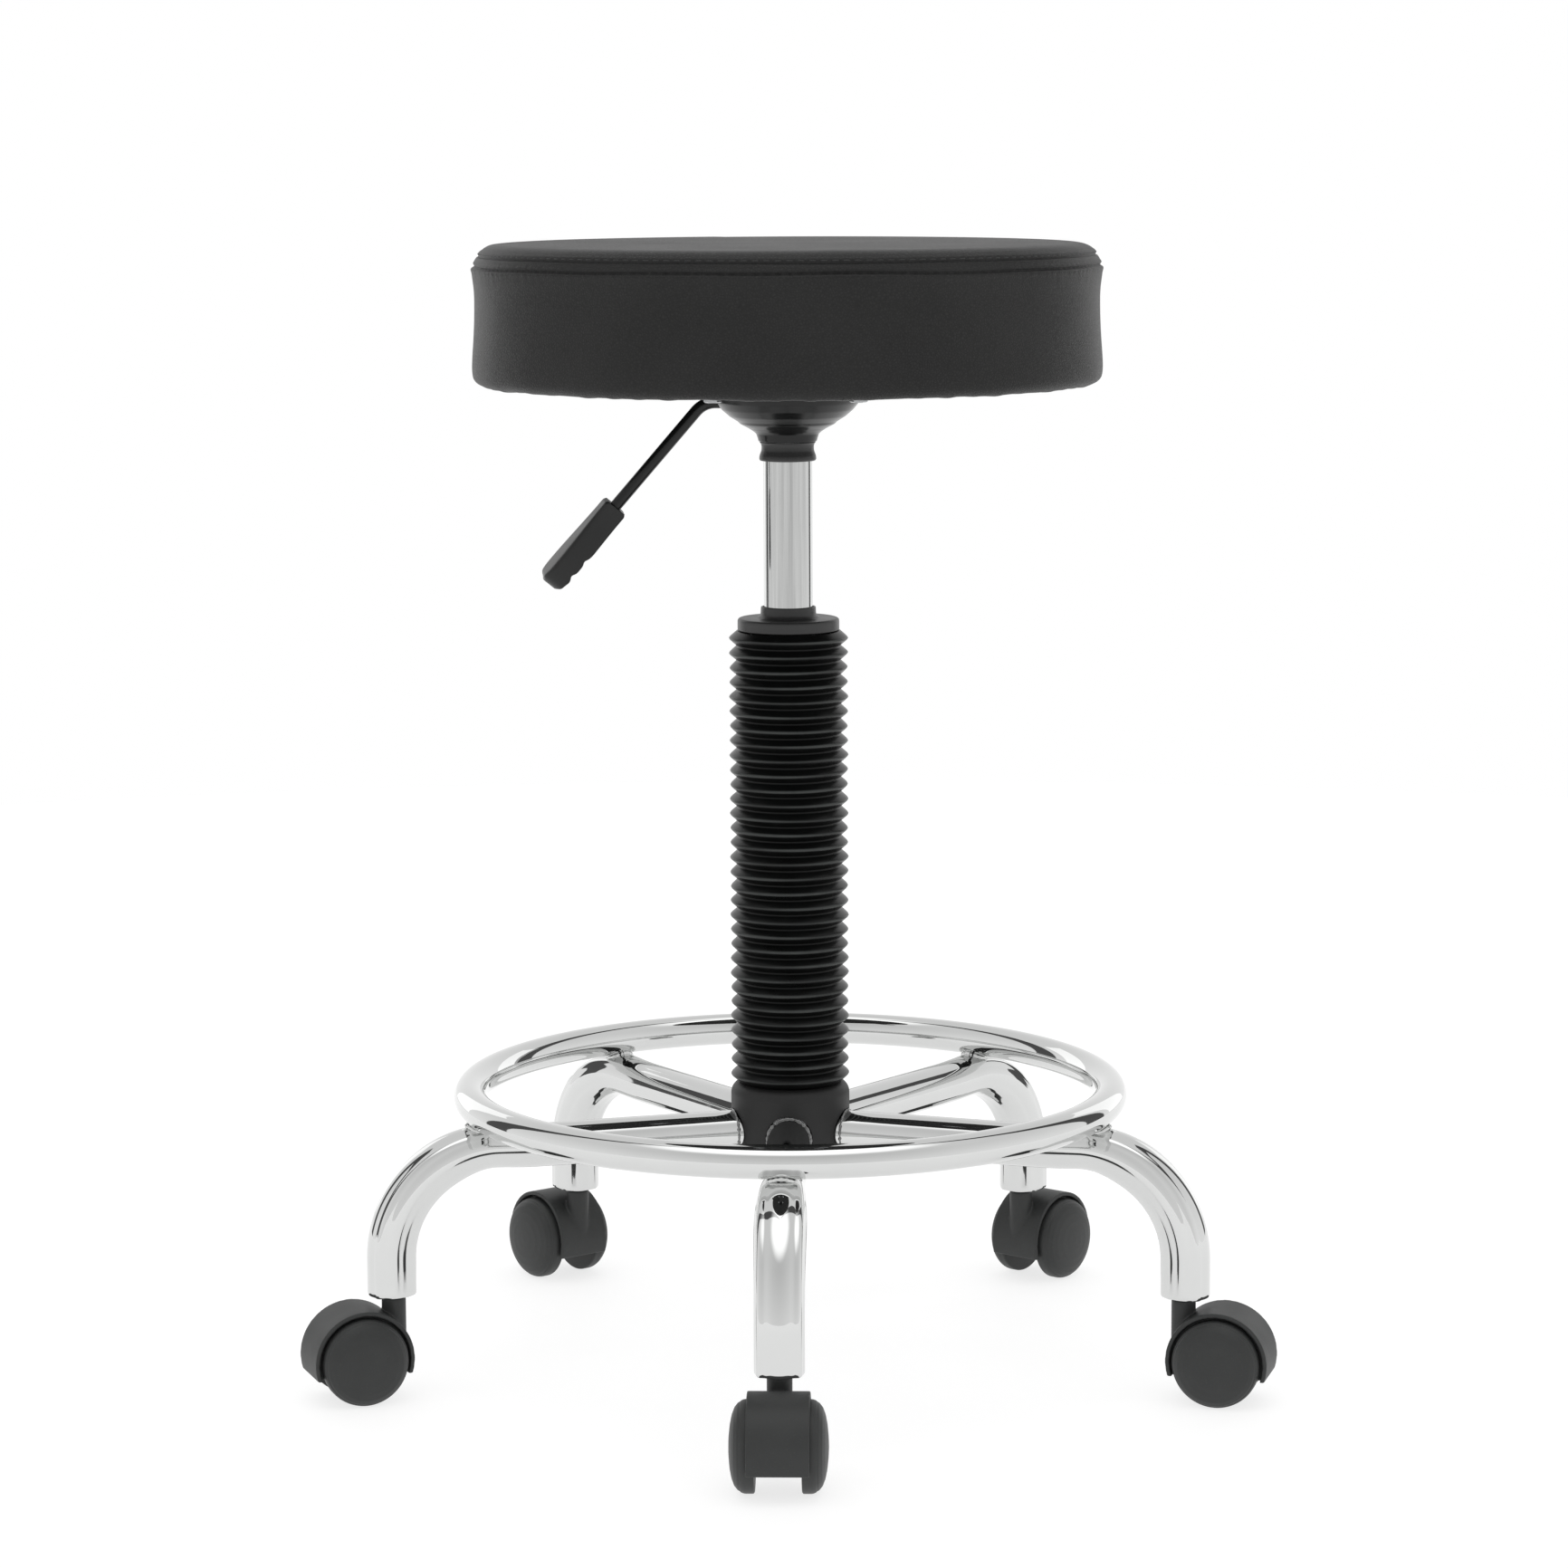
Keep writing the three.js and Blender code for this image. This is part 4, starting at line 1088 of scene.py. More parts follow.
@dataclass
class HeightLever:
    """The lever's bent rod and its paddle."""

    inner_x: float = span("lever_rod", 0)[1]
    corner_x: float = -48.0
    level: float = 563.9
    angle: float = 40.7  # from the vertical
    run: float = 78.3  # from the bend to the paddle
    grip: float = 22.0
    rod_radius: float = 3.45
    bend_cut: float = 7.0
    paddle_length: float = 59.0
    paddle_thickness: float = 14.6
    root_width: float = 12.5
    full_width: float = 21.0
    squareness: float = 8.0
    twist: float = 14.0  # of the paddle about its own length

    def build(self) -> None:
        """Make the rod and the paddle."""
        a = math.radians(self.angle)
        down = np.array([-math.sin(a), -math.cos(a)])
        corner = np.array([self.corner_x, self.level])
        path = softened([(self.inner_x, self.level), corner, corner + down * (self.run + self.grip)],
                        self.bend_cut, 18)
        path = supported(path, 0.8)
        self.rod = mesh_of_grid(capped(swept(path, circle(self.rod_radius, 32))))
        self.paddle = mesh_of_grid(capped(self.paddle_grid(corner + down * self.run, down)), sharp=180.0)

    def paddle_grid(self, root: np.ndarray, down: np.ndarray) -> np.ndarray:
        """The paddle's grid: rounded rectangles along its length.

        The width grows from the root and ends in a half ellipse; the underside has two finger grooves; both
        ends are rounded over. Each section is twisted a little about the length.

        Args:
            root: the (x, z) middle of the paddle's root.
            down: the direction along the paddle, in the XZ plane.

        Returns:
            A grid with a row for each section.
        """
        w = np.concatenate([np.array([0, 0.15, 0.5, 1.0, 1.6]), np.linspace(2.4, 56.0, 100),
                            self.paddle_length - np.array([2.4, 1.7, 1.1, 0.6, 0.25, 0.05])])
        length = self.paddle_length
        grown = smooth_step(w, 4.0, 46.0)
        half_width = 0.5 * (self.root_width + (self.full_width - self.root_width) * grown)
        round_from = length - 11.0
        half_width = half_width * np.sqrt(np.maximum(1 - (np.maximum(w - round_from, 0) / 11.3) ** 2.4, 0))
        ends = np.minimum(1 - 0.13 * bump(w, 0.0, 1.0), 1 - 0.36 * bump(w, length, 1.8))
        upper = 0.5 * self.paddle_thickness * ends
        grooves = (0.7 * smooth_step(w, 28.0, 36.0) + 1.0 * bump(w, 35.2, 2.0) + 1.5 * bump(w, 46.3, 2.1)
                   + 0.5 * smooth_step(w, 50.0, 54.0))
        lower = (0.5 * self.paddle_thickness - grooves) * ends
        t = 2 * np.pi * (np.arange(96) + 0.5) / 96
        power = 2 / self.squareness
        cos = np.sign(np.cos(t)) * np.abs(np.cos(t)) ** power
        sin = np.sign(np.sin(t)) * np.abs(np.sin(t)) ** power
        side = np.where(cos[None, :] > 0, upper[:, None], lower[:, None]) * cos[None, :]
        wide = half_width[:, None] * sin[None, :]
        turn = math.radians(self.twist)
        thick = side * math.cos(turn) - wide * math.sin(turn)
        across = side * math.sin(turn) + wide * math.cos(turn)
        outer = np.array([down[1], -down[0]])  # square to the length, on its upper side
        x = root[0] + w[:, None] * down[0] + thick * outer[0]
        z = root[1] + w[:, None] * down[1] + thick * outer[1]
        return np.stack([x, -across, z], axis=-1)

    def dress(self) -> None:
        """Put the rod and the paddle on the lever's body."""
        fit(self.rod, "lever_bar", Body.LEVER.value, BLACK_PAINT, ("lever_rod",))
        fit(self.paddle, "lever_paddle", Body.LEVER.value, HANDLE_PLASTIC,
            ("lever_handle",))


@dataclass
class GasColumn:
    """The chromed cylinder, the pleated boot and the boot's cap."""

    cylinder_radius: float = span("gas_cylinder", 0)[1]
    cylinder_low: float = span("gas_cylinder", 2)[0]
    cylinder_high: float = span("gas_cylinder", 2)[1]
    boot_low: float = span("bellows", 2)[0]
    boot_high: float = span("bellows", 2)[1]
    pleats: int = 31
    rows_in_pleat: int = 12
    root_radius: float = 29.9
    tip_radius: float = span("bellows", 1)[1]
    tip_bluntness: float = 0.12  # rounding of the ridges' tips, against half a pitch
    bore: float = 28.6
    cap_outline: Sequence[tuple[float, float]] = (
        (14.5, 433.1), (29.3, 433.1), (29.3, 440.1), (17.6, 440.4), (16.0, 442.2), (15.8, 446.7),
        (14.5, 446.7))
    most_closed: float = 0.777  # the boot's height at the seat's lowest, as a share of its full height

    def build(self) -> None:
        """Make the cylinder, the boot and the cap."""
        tube = softened([(0, self.cylinder_low), (self.cylinder_radius, self.cylinder_low),
                         (self.cylinder_radius, self.cylinder_high), (0, self.cylinder_high)], 0.8, 4)
        self.cylinder = mesh_of_grid(turned(supported(tube, 0.6), 128))
        self.boot = mesh_of_grid(self.boot_grid(), rows_close=True, sharp=180.0)
        cap = softened(self.cap_outline, [0.4, 1.0, 1.9, 1.2, 1.2, 0.8, 0.4], 6, closes=True)
        self.cap = mesh_of_grid(turned(supported(cap, 0.5)), rows_close=True)

    def boot_grid(self) -> np.ndarray:
        """The boot's closed outline turned about Z.

        Along the height the radius is a row of equal ridges: straight flanks that are rounded over the tip
        and creased at the root, each ridge a little uneven round the boot. A plain bore closes it inside.
        """
        count = self.pleats * self.rows_in_pleat
        phase = np.arange(count + 1) / self.rows_in_pleat
        off_tip = np.abs(2 * (phase % 1.0) - 1)
        blunt = self.tip_bluntness
        rounded = (np.hypot(off_tip, blunt) - blunt) / (math.hypot(1, blunt) - blunt)
        radius = self.root_radius + (self.tip_radius - self.root_radius) * (1 - rounded)
        z = self.boot_low + (self.boot_high - self.boot_low) * phase / self.pleats
        outer = turned(np.stack([radius, z], axis=1))
        angle = around(FINE)
        ridge = np.floor(np.minimum(phase, self.pleats - 0.5))
        lean = 0.22 * np.cos(2 * angle[None, :] + 1.7 * ridge[:, None]) * (1 - off_tip[:, None])
        out = np.stack([np.cos(angle), np.sin(angle), 0 * angle], axis=-1)
        outer = outer + lean[..., None] * out[None]
        outer[..., 2] += 0.25 * np.cos(angle + 0.9 * ridge[:, None]) * (1 - off_tip[:, None])
        inner = turned(np.array([[self.bore, self.boot_high], [self.bore, self.boot_low]]))
        return np.concatenate([outer, inner])

    def dress(self) -> None:
        """Put the pieces on their bodies."""
        fit(self.cylinder, "chrome_cylinder", Body.SEAT.value, GROUND_CHROME, ("gas_cylinder",))
        fit(self.cap, "boot_cap", Body.CAP.value, CAP_PLASTIC, ("bellows_cap",))
        boot = fit(self.boot, "pleated_boot", Body.BASE.value, BOOT, ("bellows",))
        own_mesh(boot)


@dataclass
class StarBase:
    """Hub cover, five bent legs, foot ring, their welds, and the inserts in the legs' ends."""

    leg_axis: float = 140.5
    leg_end: float = span("leg_1", 2)[0]
    reach: float = -middle("caster_stem_1", 1)
    bend_radius: float = 60.0
    tube_radius: float = 12.5
    tube_wall: float = 1.5
    start_x: float = 29.7
    side_flat: float = 5.7  # how far the legs' flat sides reach inward of the tube's axis
    ring_radius: float = 186.5
    ring_axis: float = middle("foot_ring", 2)
    ring_tube: float = 9.5
    cover_radius: float = span("hub_cover", 1)[1]
    cover_low: float = span("hub_cover", 2)[0]
    cover_high: float = span("hub_cover", 2)[1]
    cover_wall: float = 2.0
    cover_shoulder: float = 7.0
    cover_mouth: float = 26.0
    arch_radius: float = 13.7
    leg_sides: int = 72

    def leg_section(self) -> np.ndarray:
        """The formed tube's radius by direction: a square with flat outer face and sides, cut off inside."""
        r, flat = self.tube_radius, self.side_flat
        corners = [(r, -r), (r, r), (-flat, r), (-r, r - 6.3), (-r, 6.3 - r), (-flat, -r)]
        outline = softened(corners, [3.6, 3.6, 1.6, 2.6, 2.6, 1.6], 8, closes=True)
        outline = supported(np.concatenate([outline, outline[:1]]), 0.7)[:-1]
        angle = np.arctan2(outline[:, 1], outline[:, 0])
        order = np.argsort(angle)
        t = around(self.leg_sides) - np.pi
        return np.interp(t, angle[order], np.hypot(*outline[order].T), period=2 * np.pi)

    def leg_grid(self) -> np.ndarray:
        """One leg along +X: a closed tube, level, then bent down to its open end.

        The section passes from a circle to the formed shape over the bend. Its inner side is pressed in a
        little where the bend starts, and its width grows there. Outer wall down, inner wall back up.
        """
        bend_x, bend_z = self.reach - self.bend_radius, self.leg_axis - self.bend_radius
        level = np.linspace(self.start_x, bend_x, 46)[:-1]
        a = np.radians(np.linspace(90, 0, 40))
        drop = np.linspace(bend_z, self.leg_end, 10)[1:]
        drop = np.append(drop[:-1], [self.leg_end + 0.9, self.leg_end + 0.25, self.leg_end])
        path = np.concatenate([
            np.stack([level, np.full_like(level, self.leg_axis)], axis=1),
            np.stack([bend_x + self.bend_radius * np.cos(a), bend_z + self.bend_radius * np.sin(a)], axis=1),
            np.stack([np.full_like(drop, self.reach), drop], axis=1)])
        run = np.concatenate([[0], np.cumsum(np.linalg.norm(np.diff(path, axis=0), axis=1))])
        bend_run = bend_x - self.start_x
        t = around(self.leg_sides) - np.pi
        formed = smooth_step(run, bend_run - 30.0, bend_run + 34.0)[:, None]
        radius = (1 - formed) * self.tube_radius + formed * self.leg_section()[None, :]
        inner_side = np.maximum(-np.cos(t), 0)[None, :] ** 2
        radius = radius - 1.5 * bump(run, bend_run + 4.0, 16.0)[:, None] * inner_side
        radius = radius + 0.7 * bump(run, bend_run + 30.0, 26.0)[:, None] * (np.sin(t) ** 2)[None, :]
        lip = 0.5 * bump(run, run[-1], 0.5)[:, None]
        direction = np.stack([np.cos(t), np.sin(t)], axis=1)
        outer = swept(path, (radius - lip)[..., None] * direction)
        inner = swept(path, (radius - self.tube_wall)[..., None] * direction)
        return np.concatenate([outer, inner[::-1]])

    def ring_grid(self) -> np.ndarray:
        """The foot ring: a circle carried round a circle."""
        section = circle(self.ring_tube, 48)
        profile = np.stack([self.ring_radius + section[:, 0], self.ring_axis + section[:, 1]], axis=1)
        return turned(profile, 360)

    def ring_weld(self, seed: int) -> np.ndarray:
        """The bead round the crossing of the ring and a leg that lies along +X.

        Its middle line is an oval halfway between the top of the leg and the underside of the ring; its
        thickness ripples like laid drops, and is fullest on the side of the hub.
        """
        t = around(120)
        x, y = 6.6 * np.cos(t), 7.6 * np.sin(t)
        leg_top = self.leg_axis + np.sqrt(self.tube_radius ** 2 - y ** 2)
        ring_low = self.ring_axis - np.sqrt(self.ring_tube ** 2 - x ** 2)
        line = np.stack([self.ring_radius + x, y, (leg_top + ring_low) / 2], axis=1)
        thick = (1.15 + 0.4 * np.maximum(-np.cos(t), 0) + 0.12 * np.cos(15 * t)
                 + 0.2 * waves(t, (5, 9, 14, 23), seed))
        out = np.stack([np.cos(t), np.sin(t), 0 * t], axis=1)
        return bead(line, thick, out, np.array([0.0, 0.0, 1.0]), 14)

    def hub_weld(self, seed: int) -> np.ndarray:
        """The bead round a leg that lies along +X, where it meets the hub: a rippled ring about the tube."""
        t = around(160)
        out = np.stack([0 * t, np.cos(t), np.sin(t)], axis=1)
        thick = 0.62 + 0.14 * np.cos(23 * t) + 0.5 * waves(t, (7, 12, 19, 31), seed)
        line = np.array([34.7, 0.0, self.leg_axis]) + 12.8 * out
        return bead(line, thick, out, np.array([1.0, 0.0, 0.0]), 12)

    def cover_grid(self) -> np.ndarray:
        """The hub cover as one closed skin: up the outside from the arched lower edge, over, and back inside.

        The lower edge is level but rises over each leg along a circle about it; a wall's rows share what is
        left up to the shoulder.
        """
        arch = math.degrees(math.asin(self.arch_radius / self.cover_radius))
        near = np.concatenate([-arch * np.cos(np.linspace(0, np.pi, 33)), [-arch - 0.02, arch + 0.02]])
        between = np.linspace(arch + 0.4, 360 / LEG_COUNT - arch - 0.4, 10)
        legs = leg_turns()
        angle = np.concatenate([(legs[:, None] + part[None, :]).ravel() for part in (near, between)])
        angle = np.sort(np.radians(angle % 360))
        legs_off = np.degrees(angle)[:, None] - legs[None, :]
        off = np.radians(np.min(np.abs((legs_off + 180) % 360 - 180), axis=1))
        side = self.cover_radius * np.sin(off)
        under = np.degrees(off) <= arch + 0.01
        rise = self.leg_axis + np.sqrt(np.maximum(self.arch_radius ** 2 - side ** 2, 0))
        low = np.where(under, rise, self.cover_low)
        shoulder = self.cover_high - self.cover_shoulder
        share = np.concatenate([[0, 0.02], np.linspace(0.08, 0.97, 12)])[:, None]

        def skin(radius: float, top: float, round_: float, hole: float) -> np.ndarray:
            """One side of the skin, from its lower edge to the hole at the top."""
            wall_z = low[None, :] + share * (shoulder - low[None, :])
            a = np.radians(np.linspace(0, 90, 12))[:, None]
            curve_r = radius - round_ + round_ * np.cos(a)
            curve_z = top - round_ + round_ * np.sin(a)
            wide = len(angle)
            r = np.concatenate([np.full((len(share), wide), radius), np.broadcast_to(curve_r, (12, wide)),
                                np.full((1, wide), hole)])
            z = np.concatenate([wall_z, np.broadcast_to(curve_z, (12, wide)), np.full((1, wide), top)])
            return np.stack([r * np.cos(angle), r * np.sin(angle), z], axis=-1)

        outside = skin(self.cover_radius, self.cover_high, self.cover_shoulder, self.cover_mouth)
        inside = skin(self.cover_radius - self.cover_wall, self.cover_high - self.cover_wall,
                      self.cover_shoulder - self.cover_wall, self.cover_mouth)
        return np.concatenate([outside, inside[::-1]])

    def insert_profile(self) -> np.ndarray:
        """The insert in a leg's end: a flange below, a bored plug above."""
        low, high = self.leg_end - 1.6, self.leg_end + 22
        corners = [(6.1, low), (7.2, low), (7.2, self.leg_end - 0.2), (10.6, self.leg_end + 0.1),
                   (10.6, high), (6.1, high)]
        return softened(corners, [0.1, 0.45, 0.2, 0.3, 0.5, 0.3], 4, closes=True)

    def in_place(self, grids: Sequence[np.ndarray], sharp: float) -> list[bpy.types.Mesh]:
        """One closed mesh for each leg, from grids that lie along +X."""
        return [mesh_of_grid(about_z(grid, turn), rows_close=True, sharp=sharp)
                for grid, turn in zip(grids, leg_turns())]

    def build(self) -> None:
        """Make every piece of the base."""
        self.ring = mesh_of_grid(self.ring_grid(), rows_close=True)
        self.cover = mesh_of_grid(self.cover_grid(), rows_close=True, sharp=50.0)
        leg = self.leg_grid()
        insert = turned(self.insert_profile(), 48) + np.array([self.reach, 0, 0])
        self.legs = self.in_place([leg] * LEG_COUNT, 50.0)
        self.inserts = self.in_place([insert] * LEG_COUNT, 40.0)
        self.ring_welds = self.in_place([self.ring_weld(40 + i) for i in range(LEG_COUNT)], 180.0)
        self.hub_welds = self.in_place([self.hub_weld(60 + i) for i in range(LEG_COUNT)], 180.0)

    def dress(self) -> None:
        """Put the pieces on the base."""
        base = Body.BASE.value
        fit(self.ring, "ring_tube", base, CHROME, ("foot_ring",))
        fit(self.cover, "hub_shroud", base, COVER_PLASTIC, ("hub_cover",))
        pieces = zip(self.legs, self.inserts, self.ring_welds, self.hub_welds)
        for i, (leg, insert, ring_weld, hub_weld) in enumerate(pieces, start=1):
            fit(leg, f"leg_tube_{i}", base, CHROME, (f"leg_{i}",))
            fit(insert, f"leg_insert_{i}", base, STEEL, (f"stem_socket_{i}",))
            fit(ring_weld, f"ring_weld_{i}", base, CHROME)
            fit(hub_weld, f"hub_weld_{i}", base, SHADED_WELD_CHROME)


@dataclass
class Casters:
    """Five hooded twin-wheel casters."""

    reach: float = -middle("caster_stem_1", 1)
    trail: float = round(middle("caster_stem_1", 1) - middle("wheel_1_left", 1), 3)
    axle: float = middle("wheel_1_left", 2)
    turns: Sequence[float] = (0.0, 3.0, -1.0, 3.0, 5.0)  # each caster's turn from trailing straight out
    hood_outer: float = 29.2
    hood_inner: float = 26.7
    hood_half_width: float = span("caster_housing_1", 0)[1]
    skirt: float = 9.0  # how far the hood reaches below the axle
    web_half_width: float = 12.1
    neck_radius: float = 6.95
    neck_top: float = span("caster_housing_1", 2)[1]
    neck_cut: float = 4.0  # the neck's foot, below the axle
    voxel: float = 0.62
    wheel_sides: int = 112
    wheel_outline: Sequence[tuple[float, float]] = (
        (0.0, 14.4), (3.4, 14.4), (6.0, 14.4), (6.4, 12.6), (24.3, 12.6), (25.0, 13.3), (25.0, 17.6),
        (24.75, 18.9), (24.1, 20.3), (23.75, 20.35), (23.1, 21.7), (20.7, 23.6), (17.0, 25.0), (12.0, 26.0),
        (6.0, 26.6), (0.0, 26.85))

    def hood_outline(self) -> np.ndarray:
        """The hood's side view about the axle: an arch of even thickness with straight-cut, rounded tips."""
        cut_out = math.degrees(math.asin(self.skirt / self.hood_outer))
        cut_in = math.degrees(math.asin(self.skirt / self.hood_inner))
        outer = np.radians(np.linspace(-cut_out, 180 + cut_out, 90))
        inner = np.radians(np.linspace(180 + cut_in, -cut_in, 90))
        return np.concatenate([self.hood_outer * np.stack([np.cos(outer), np.sin(outer)], 1),
                               self.hood_inner * np.stack([np.cos(inner), np.sin(inner)], 1)])

    def blocks(self) -> list[tuple[np.ndarray, np.ndarray]]:
        """The housing's overlapping solids before they are fused, about the axle, with the stem at -X.

        A hood arch as wide as the hood; a web that fills the arch between the wheels down to the skirt; a
        cylinder for the neck.
        """
        arch = self.hood_outline()
        half = len(arch) // 2
        sides = np.broadcast_to([-1.0, -1.0, 1.0, 1.0], (half, 4))
        outer, inner = arch[:half], arch[half:][::-1]
        band = np.stack([outer, inner, inner, outer], axis=1)
        hood = np.stack([band[..., 0], self.hood_half_width * sides, band[..., 1]], axis=-1)
        top = outer * ((self.hood_inner + 0.6) / self.hood_outer)
        foot = np.stack([top[:, 0] * 0.97, np.full(half, -self.skirt)], axis=1)
        plate = np.stack([top, foot, foot, top], axis=1)
        web = np.stack([plate[..., 0], self.web_half_width * sides, plate[..., 1]], axis=-1)
        ring = circle(self.neck_radius, 64)
        heights = np.array([-self.neck_cut, self.neck_top - self.axle])
        neck = np.stack(np.broadcast_arrays(ring[:, 0] - self.trail, ring[:, 1], heights[:, None]), axis=-1)
        return [(capped(grid).reshape(-1, 3), grid_faces(len(grid) + 2, grid.shape[1], False, True))
                for grid in (hood, web, neck)]

    def housing_mesh(self) -> bpy.types.Mesh:
        """The housing fused from its solids into one moulded skin, with its edges softened."""
        points, faces, shift = [], [], 0
        for block_points, block_faces in self.blocks():
            points.append(block_points)
            faces.append(block_faces + shift)
            shift += len(block_points)
        source = new_object("housing_start", mesh_from(np.concatenate(points), np.concatenate(faces)))
        fuse = source.modifiers.new("fuse", "REMESH")
        fuse.mode = "VOXEL"
        fuse.voxel_size = self.voxel * MM
        relax = source.modifiers.new("relax", "SMOOTH")
        relax.factor = 0.5
        relax.iterations = 5
        return settled(source)

    def build(self) -> None:
        """Make one housing and one wheel, then a copy of each in every place."""
        housing = self.housing_mesh()
        base_points = positions(housing)
        profile = supported(softened(self.wheel_outline, 0.5, 4), 0.5)
        wheel = turned(profile, self.wheel_sides)[..., [0, 2, 1]]
        self.housings, self.wheels = [], []
        for turn, own in zip(leg_turns(), self.turns):
            def placed(points: np.ndarray) -> np.ndarray:
                """Points about the axle moved to this caster."""
                about_stem = about_z(points + np.array([self.trail, 0, self.axle]), own)
                return about_z(about_stem + np.array([self.reach, 0, 0]), turn)

            copy = housing.copy()
            set_positions(copy, placed(base_points))
            copy.shade_smooth()
            self.housings.append(copy)
            self.wheels.append([mesh_of_grid(placed(wheel * np.array([1, side, 1])), sharp=35.0)
                                for side in (1, -1)])

    def dress(self) -> None:
        """Put each caster's pieces on their bodies."""
        for number, (housing, wheels) in enumerate(zip(self.housings, self.wheels), start=1):
            fit(housing, f"caster_hood_{number}", f"caster_{number}", CASTER_PLASTIC,
                (f"caster_housing_{number}",))
            for mesh, side in zip(wheels, ("left", "right")):
                node = f"wheel_{number}_{side}"
                fit(mesh, f"roller_{number}_{side}", node, CASTER_PLASTIC, (node,))


@dataclass
class CarriedParts:
    """The frame's own solids that stay in view or inside, with better finishes."""

    finishes: dict[str, Finish] = field(default_factory=lambda: {
        "hub_tube": STEEL, "outer_column": BLACK_PAINT, "guide_bush": BUSH_PLASTIC, "thrust_bearing": STEEL,
        "rubber_buffer": BUFFER_RUBBER, "piston_rod": STEEL, "retaining_clip": STEEL, "release_pin": STEEL,
        "seat_board": PLYWOOD, "dust_cover": DUST_FABRIC,
        **{f"caster_stem_{i}": STEEL for i in range(1, LEG_COUNT + 1)},
        **{f"caster_axle_{i}": STEEL for i in range(1, LEG_COUNT + 1)}})

    def dress(self) -> None:
        """Assign each finish to the node's material slots."""
        for name, finish in self.finishes.items():
            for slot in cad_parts[name].material_slots:
                slot.material = finish.material()
            log.info("%s keeps its shape and takes %s", name, finish.name)


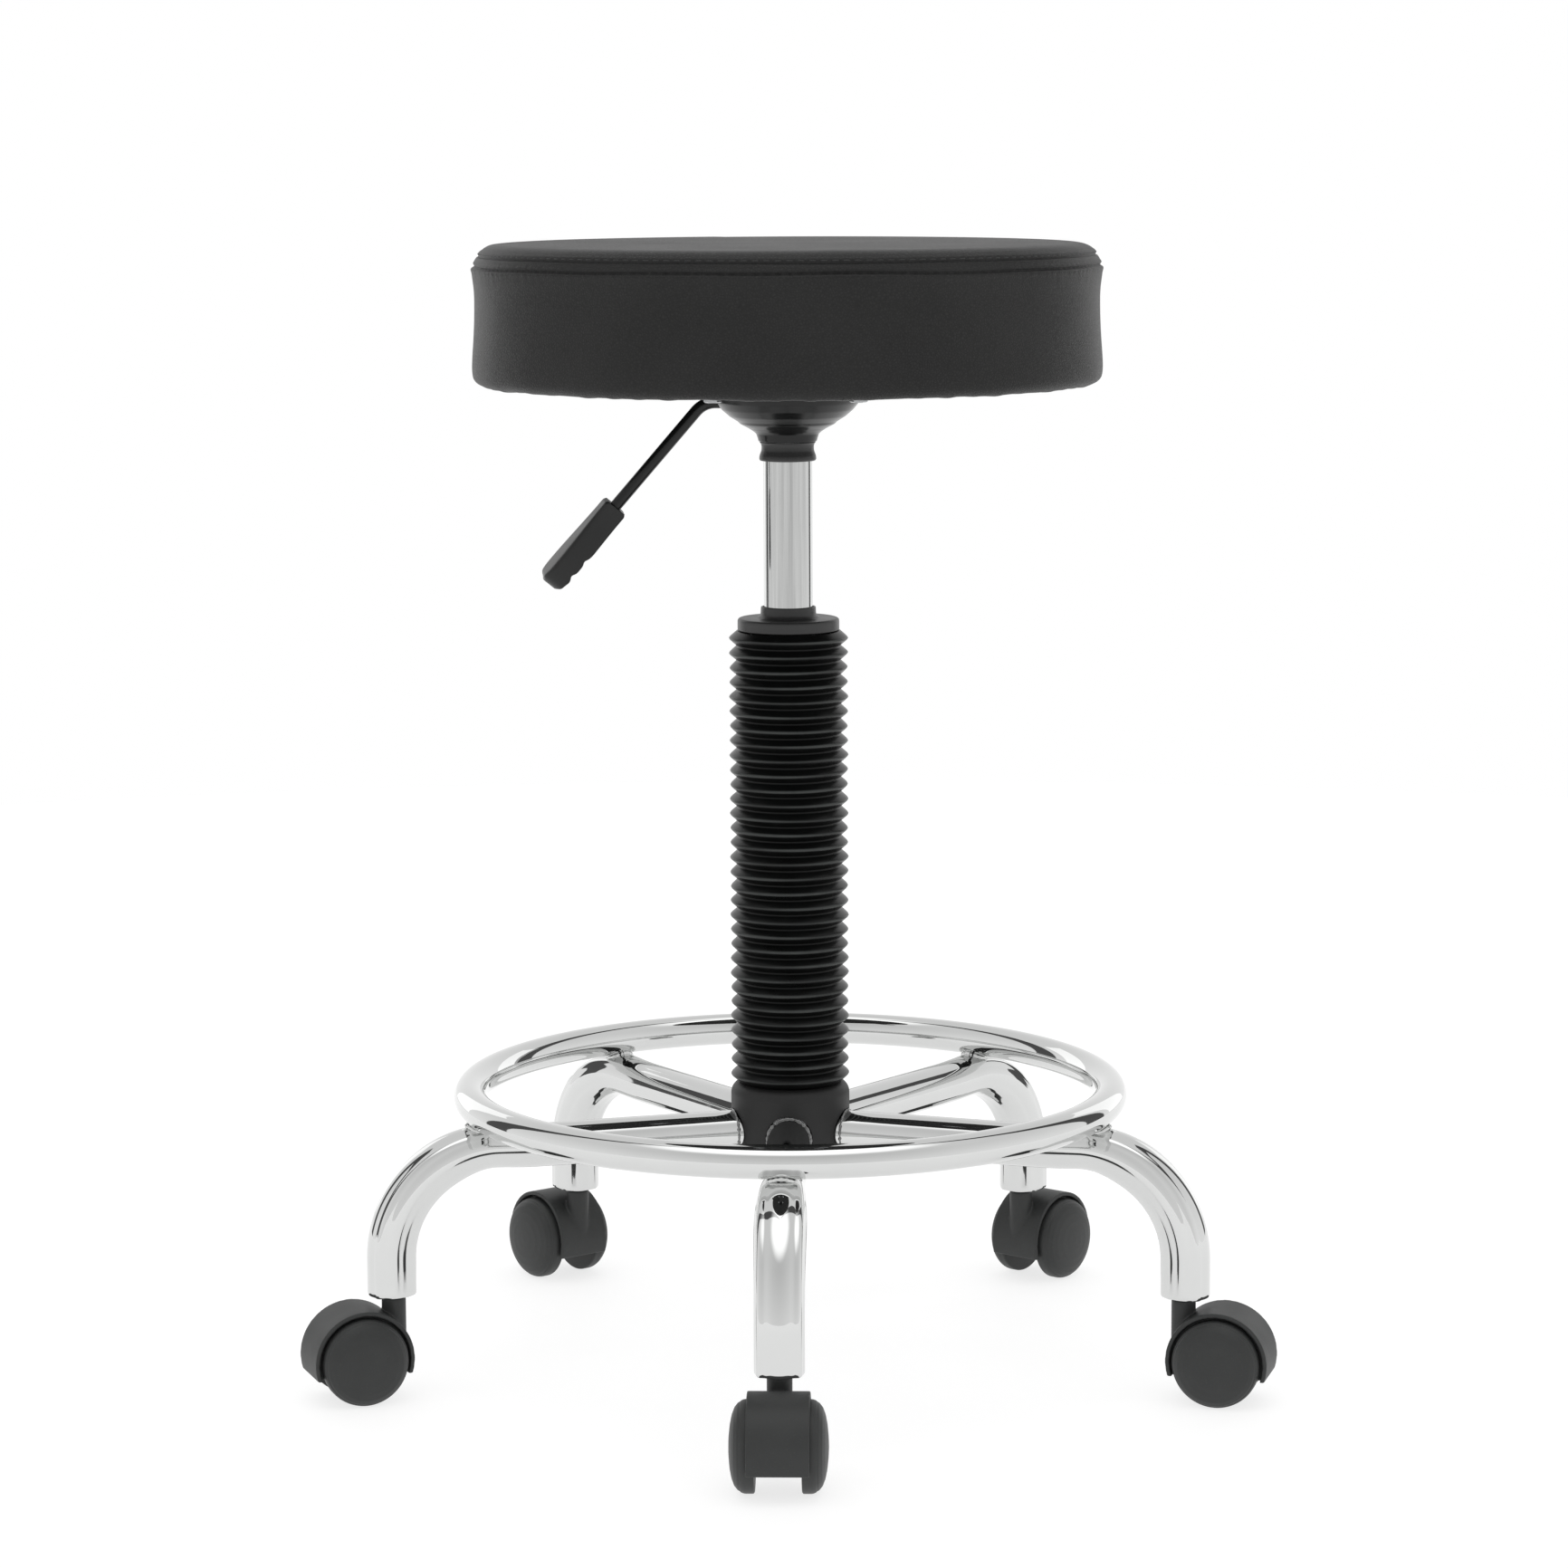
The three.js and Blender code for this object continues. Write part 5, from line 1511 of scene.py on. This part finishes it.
# ---------------------------------------------------------------- studio
@dataclass
class Studio:
    """White floor and surroundings, soft lights, and the camera."""

    floor_radius: float = 2400.0
    eye: tuple[float, float, float] = (69.7, -2587.5, 716.6)
    heading: float = -1.608  # from +Y, positive towards +X
    pitch: float = 8.204  # below level
    roll: float = -0.245
    lens: float = 103.8
    sensor: float = 36.0
    sky: float = 1.0
    roof_shade: float = 0.18  # how much darker than the sides the room is overhead
    front_shade: float = 0.15  # and behind the camera
    key_from: tuple[float, float] = (-90.0, 82.0)  # the direction of the soft key light, and its height
    key_width: float = 34.0
    key_sharpness: float = 8.0
    key_gain: float = 0.85
    strips: Sequence[tuple[float, float, float]] = ((36.0, 7.0, 0.9), (155.0, 7.0, 0.9))

    def floor(self) -> None:
        """A wide disc in the plane that the wheels stand on."""
        rings = np.array([[0.0, 0.0], [600.0, 0.0], [1500.0, 0.0], [self.floor_radius, 0.0]])
        mesh = mesh_from(turned(rings, 128).reshape(-1, 3), grid_faces(4, 128, False, True), outward=False)
        mesh.materials.append(FLOOR.material())
        new_object("studio_floor", mesh)

    def surroundings(self) -> None:
        """A white room with narrow dark uprights, seen only in reflections; the backdrop itself is white."""
        world = bpy.data.worlds.new("studio")
        bpy.context.scene.world = world
        world.use_nodes = True
        graph = Graph(world.node_tree)
        ray = graph.node("ShaderNodeTexCoord", output="Generated")
        x, y, z = graph.axes(ray)
        level = (x * x + y * y).at_least(1e-6) ** 0.5
        front = (y * -1.0 / level).held()
        light = 1.0 - self.roof_shade * (z * 1.5).held() - self.front_shade * front * front
        for direction, half_width, depth in self.strips:
            a = math.radians(direction)
            facing = (x * math.cos(a) + y * math.sin(a)) / level
            edge = math.cos(math.radians(half_width))
            light = light * (1.0 - depth * ((facing - edge) * (6.0 / (1 - edge))).held())
        a, up = (math.radians(v) for v in self.key_from)
        toward = x * (math.cos(a) * math.cos(up)) + y * (math.sin(a) * math.cos(up)) + z * math.sin(up)
        key = ((toward - math.cos(math.radians(self.key_width))) * self.key_sharpness).held()
        light = light + self.key_gain * key * key * (3.0 - 2.0 * key)
        seen = graph.node("ShaderNodeLightPath", output="Is Camera Ray")
        strength = light * self.sky * (1.0 - seen) + seen
        back = graph.node("ShaderNodeBackground", None, {"Color": (1, 1, 1, 1), "Strength": strength})
        graph.node("ShaderNodeOutputWorld", None, {"Surface": back})

    def lamp(self, name: str, place: tuple[float, float, float], size: tuple[float, float],
             power: float) -> None:
        """A rectangular soft light aimed at the stool.

        Args:
            name: its name.
            place: its position in millimetres.
            size: its width and height in millimetres.
            power: its power in watts.
        """
        data = bpy.data.lights.new(name, "AREA")
        data.shape = "RECTANGLE"
        data.size, data.size_y = size[0] * MM, size[1] * MM
        data.energy = power
        lamp = bpy.data.objects.new(name, data)
        at = Vector(place) * MM
        aim = Vector((0, 0, 0.35)) - at
        lamp.matrix_world = Matrix.Translation(at) @ aim.to_track_quat("-Z", "Y").to_matrix().to_4x4()
        bpy.context.scene.collection.objects.link(lamp)

    def camera(self) -> None:
        """The camera, from its place, heading, pitch and roll."""
        yaw, pitch = math.radians(self.heading), math.radians(self.pitch)
        ahead = Vector((math.sin(yaw) * math.cos(pitch), math.cos(yaw) * math.cos(pitch), -math.sin(pitch)))
        right = ahead.cross(Vector((0, 0, 1))).normalized()
        up = right.cross(ahead)
        pose = Matrix((right, up, -ahead)).transposed().to_4x4()
        data = bpy.data.cameras.new("camera")
        data.lens = self.lens
        data.sensor_width = self.sensor
        data.clip_end = 50.0
        eye = bpy.data.objects.new("camera", data)
        eye.matrix_world = (Matrix.Translation(Vector(self.eye) * MM) @ pose
                            @ Matrix.Rotation(math.radians(self.roll), 4, "Z"))
        bpy.context.scene.collection.objects.link(eye)
        bpy.context.scene.camera = eye

    def build(self) -> None:
        """Set up the whole studio."""
        self.floor()
        self.surroundings()
        self.lamp("left_softbox", (-1600, 2100, 900), (900, 1700), 2.2)
        self.lamp("right_softbox", (1600, 2100, 900), (900, 1700), 1.9)
        self.camera()
        view = bpy.context.scene.view_settings
        view.view_transform = "Standard"
        log.info("studio ready")


def main() -> None:
    """Build the stool around the frame and set up the studio."""
    logging.basicConfig(level=logging.INFO, format="%(name)s: %(message)s")
    Studio().build()
    for part in (StarBase(), Casters(), GasColumn(), SeatMount(), HeightLever(), SeatCushion()):
        part.build()
        part.dress()
    CarriedParts().dress()


if __name__ == "__main__":
    main()
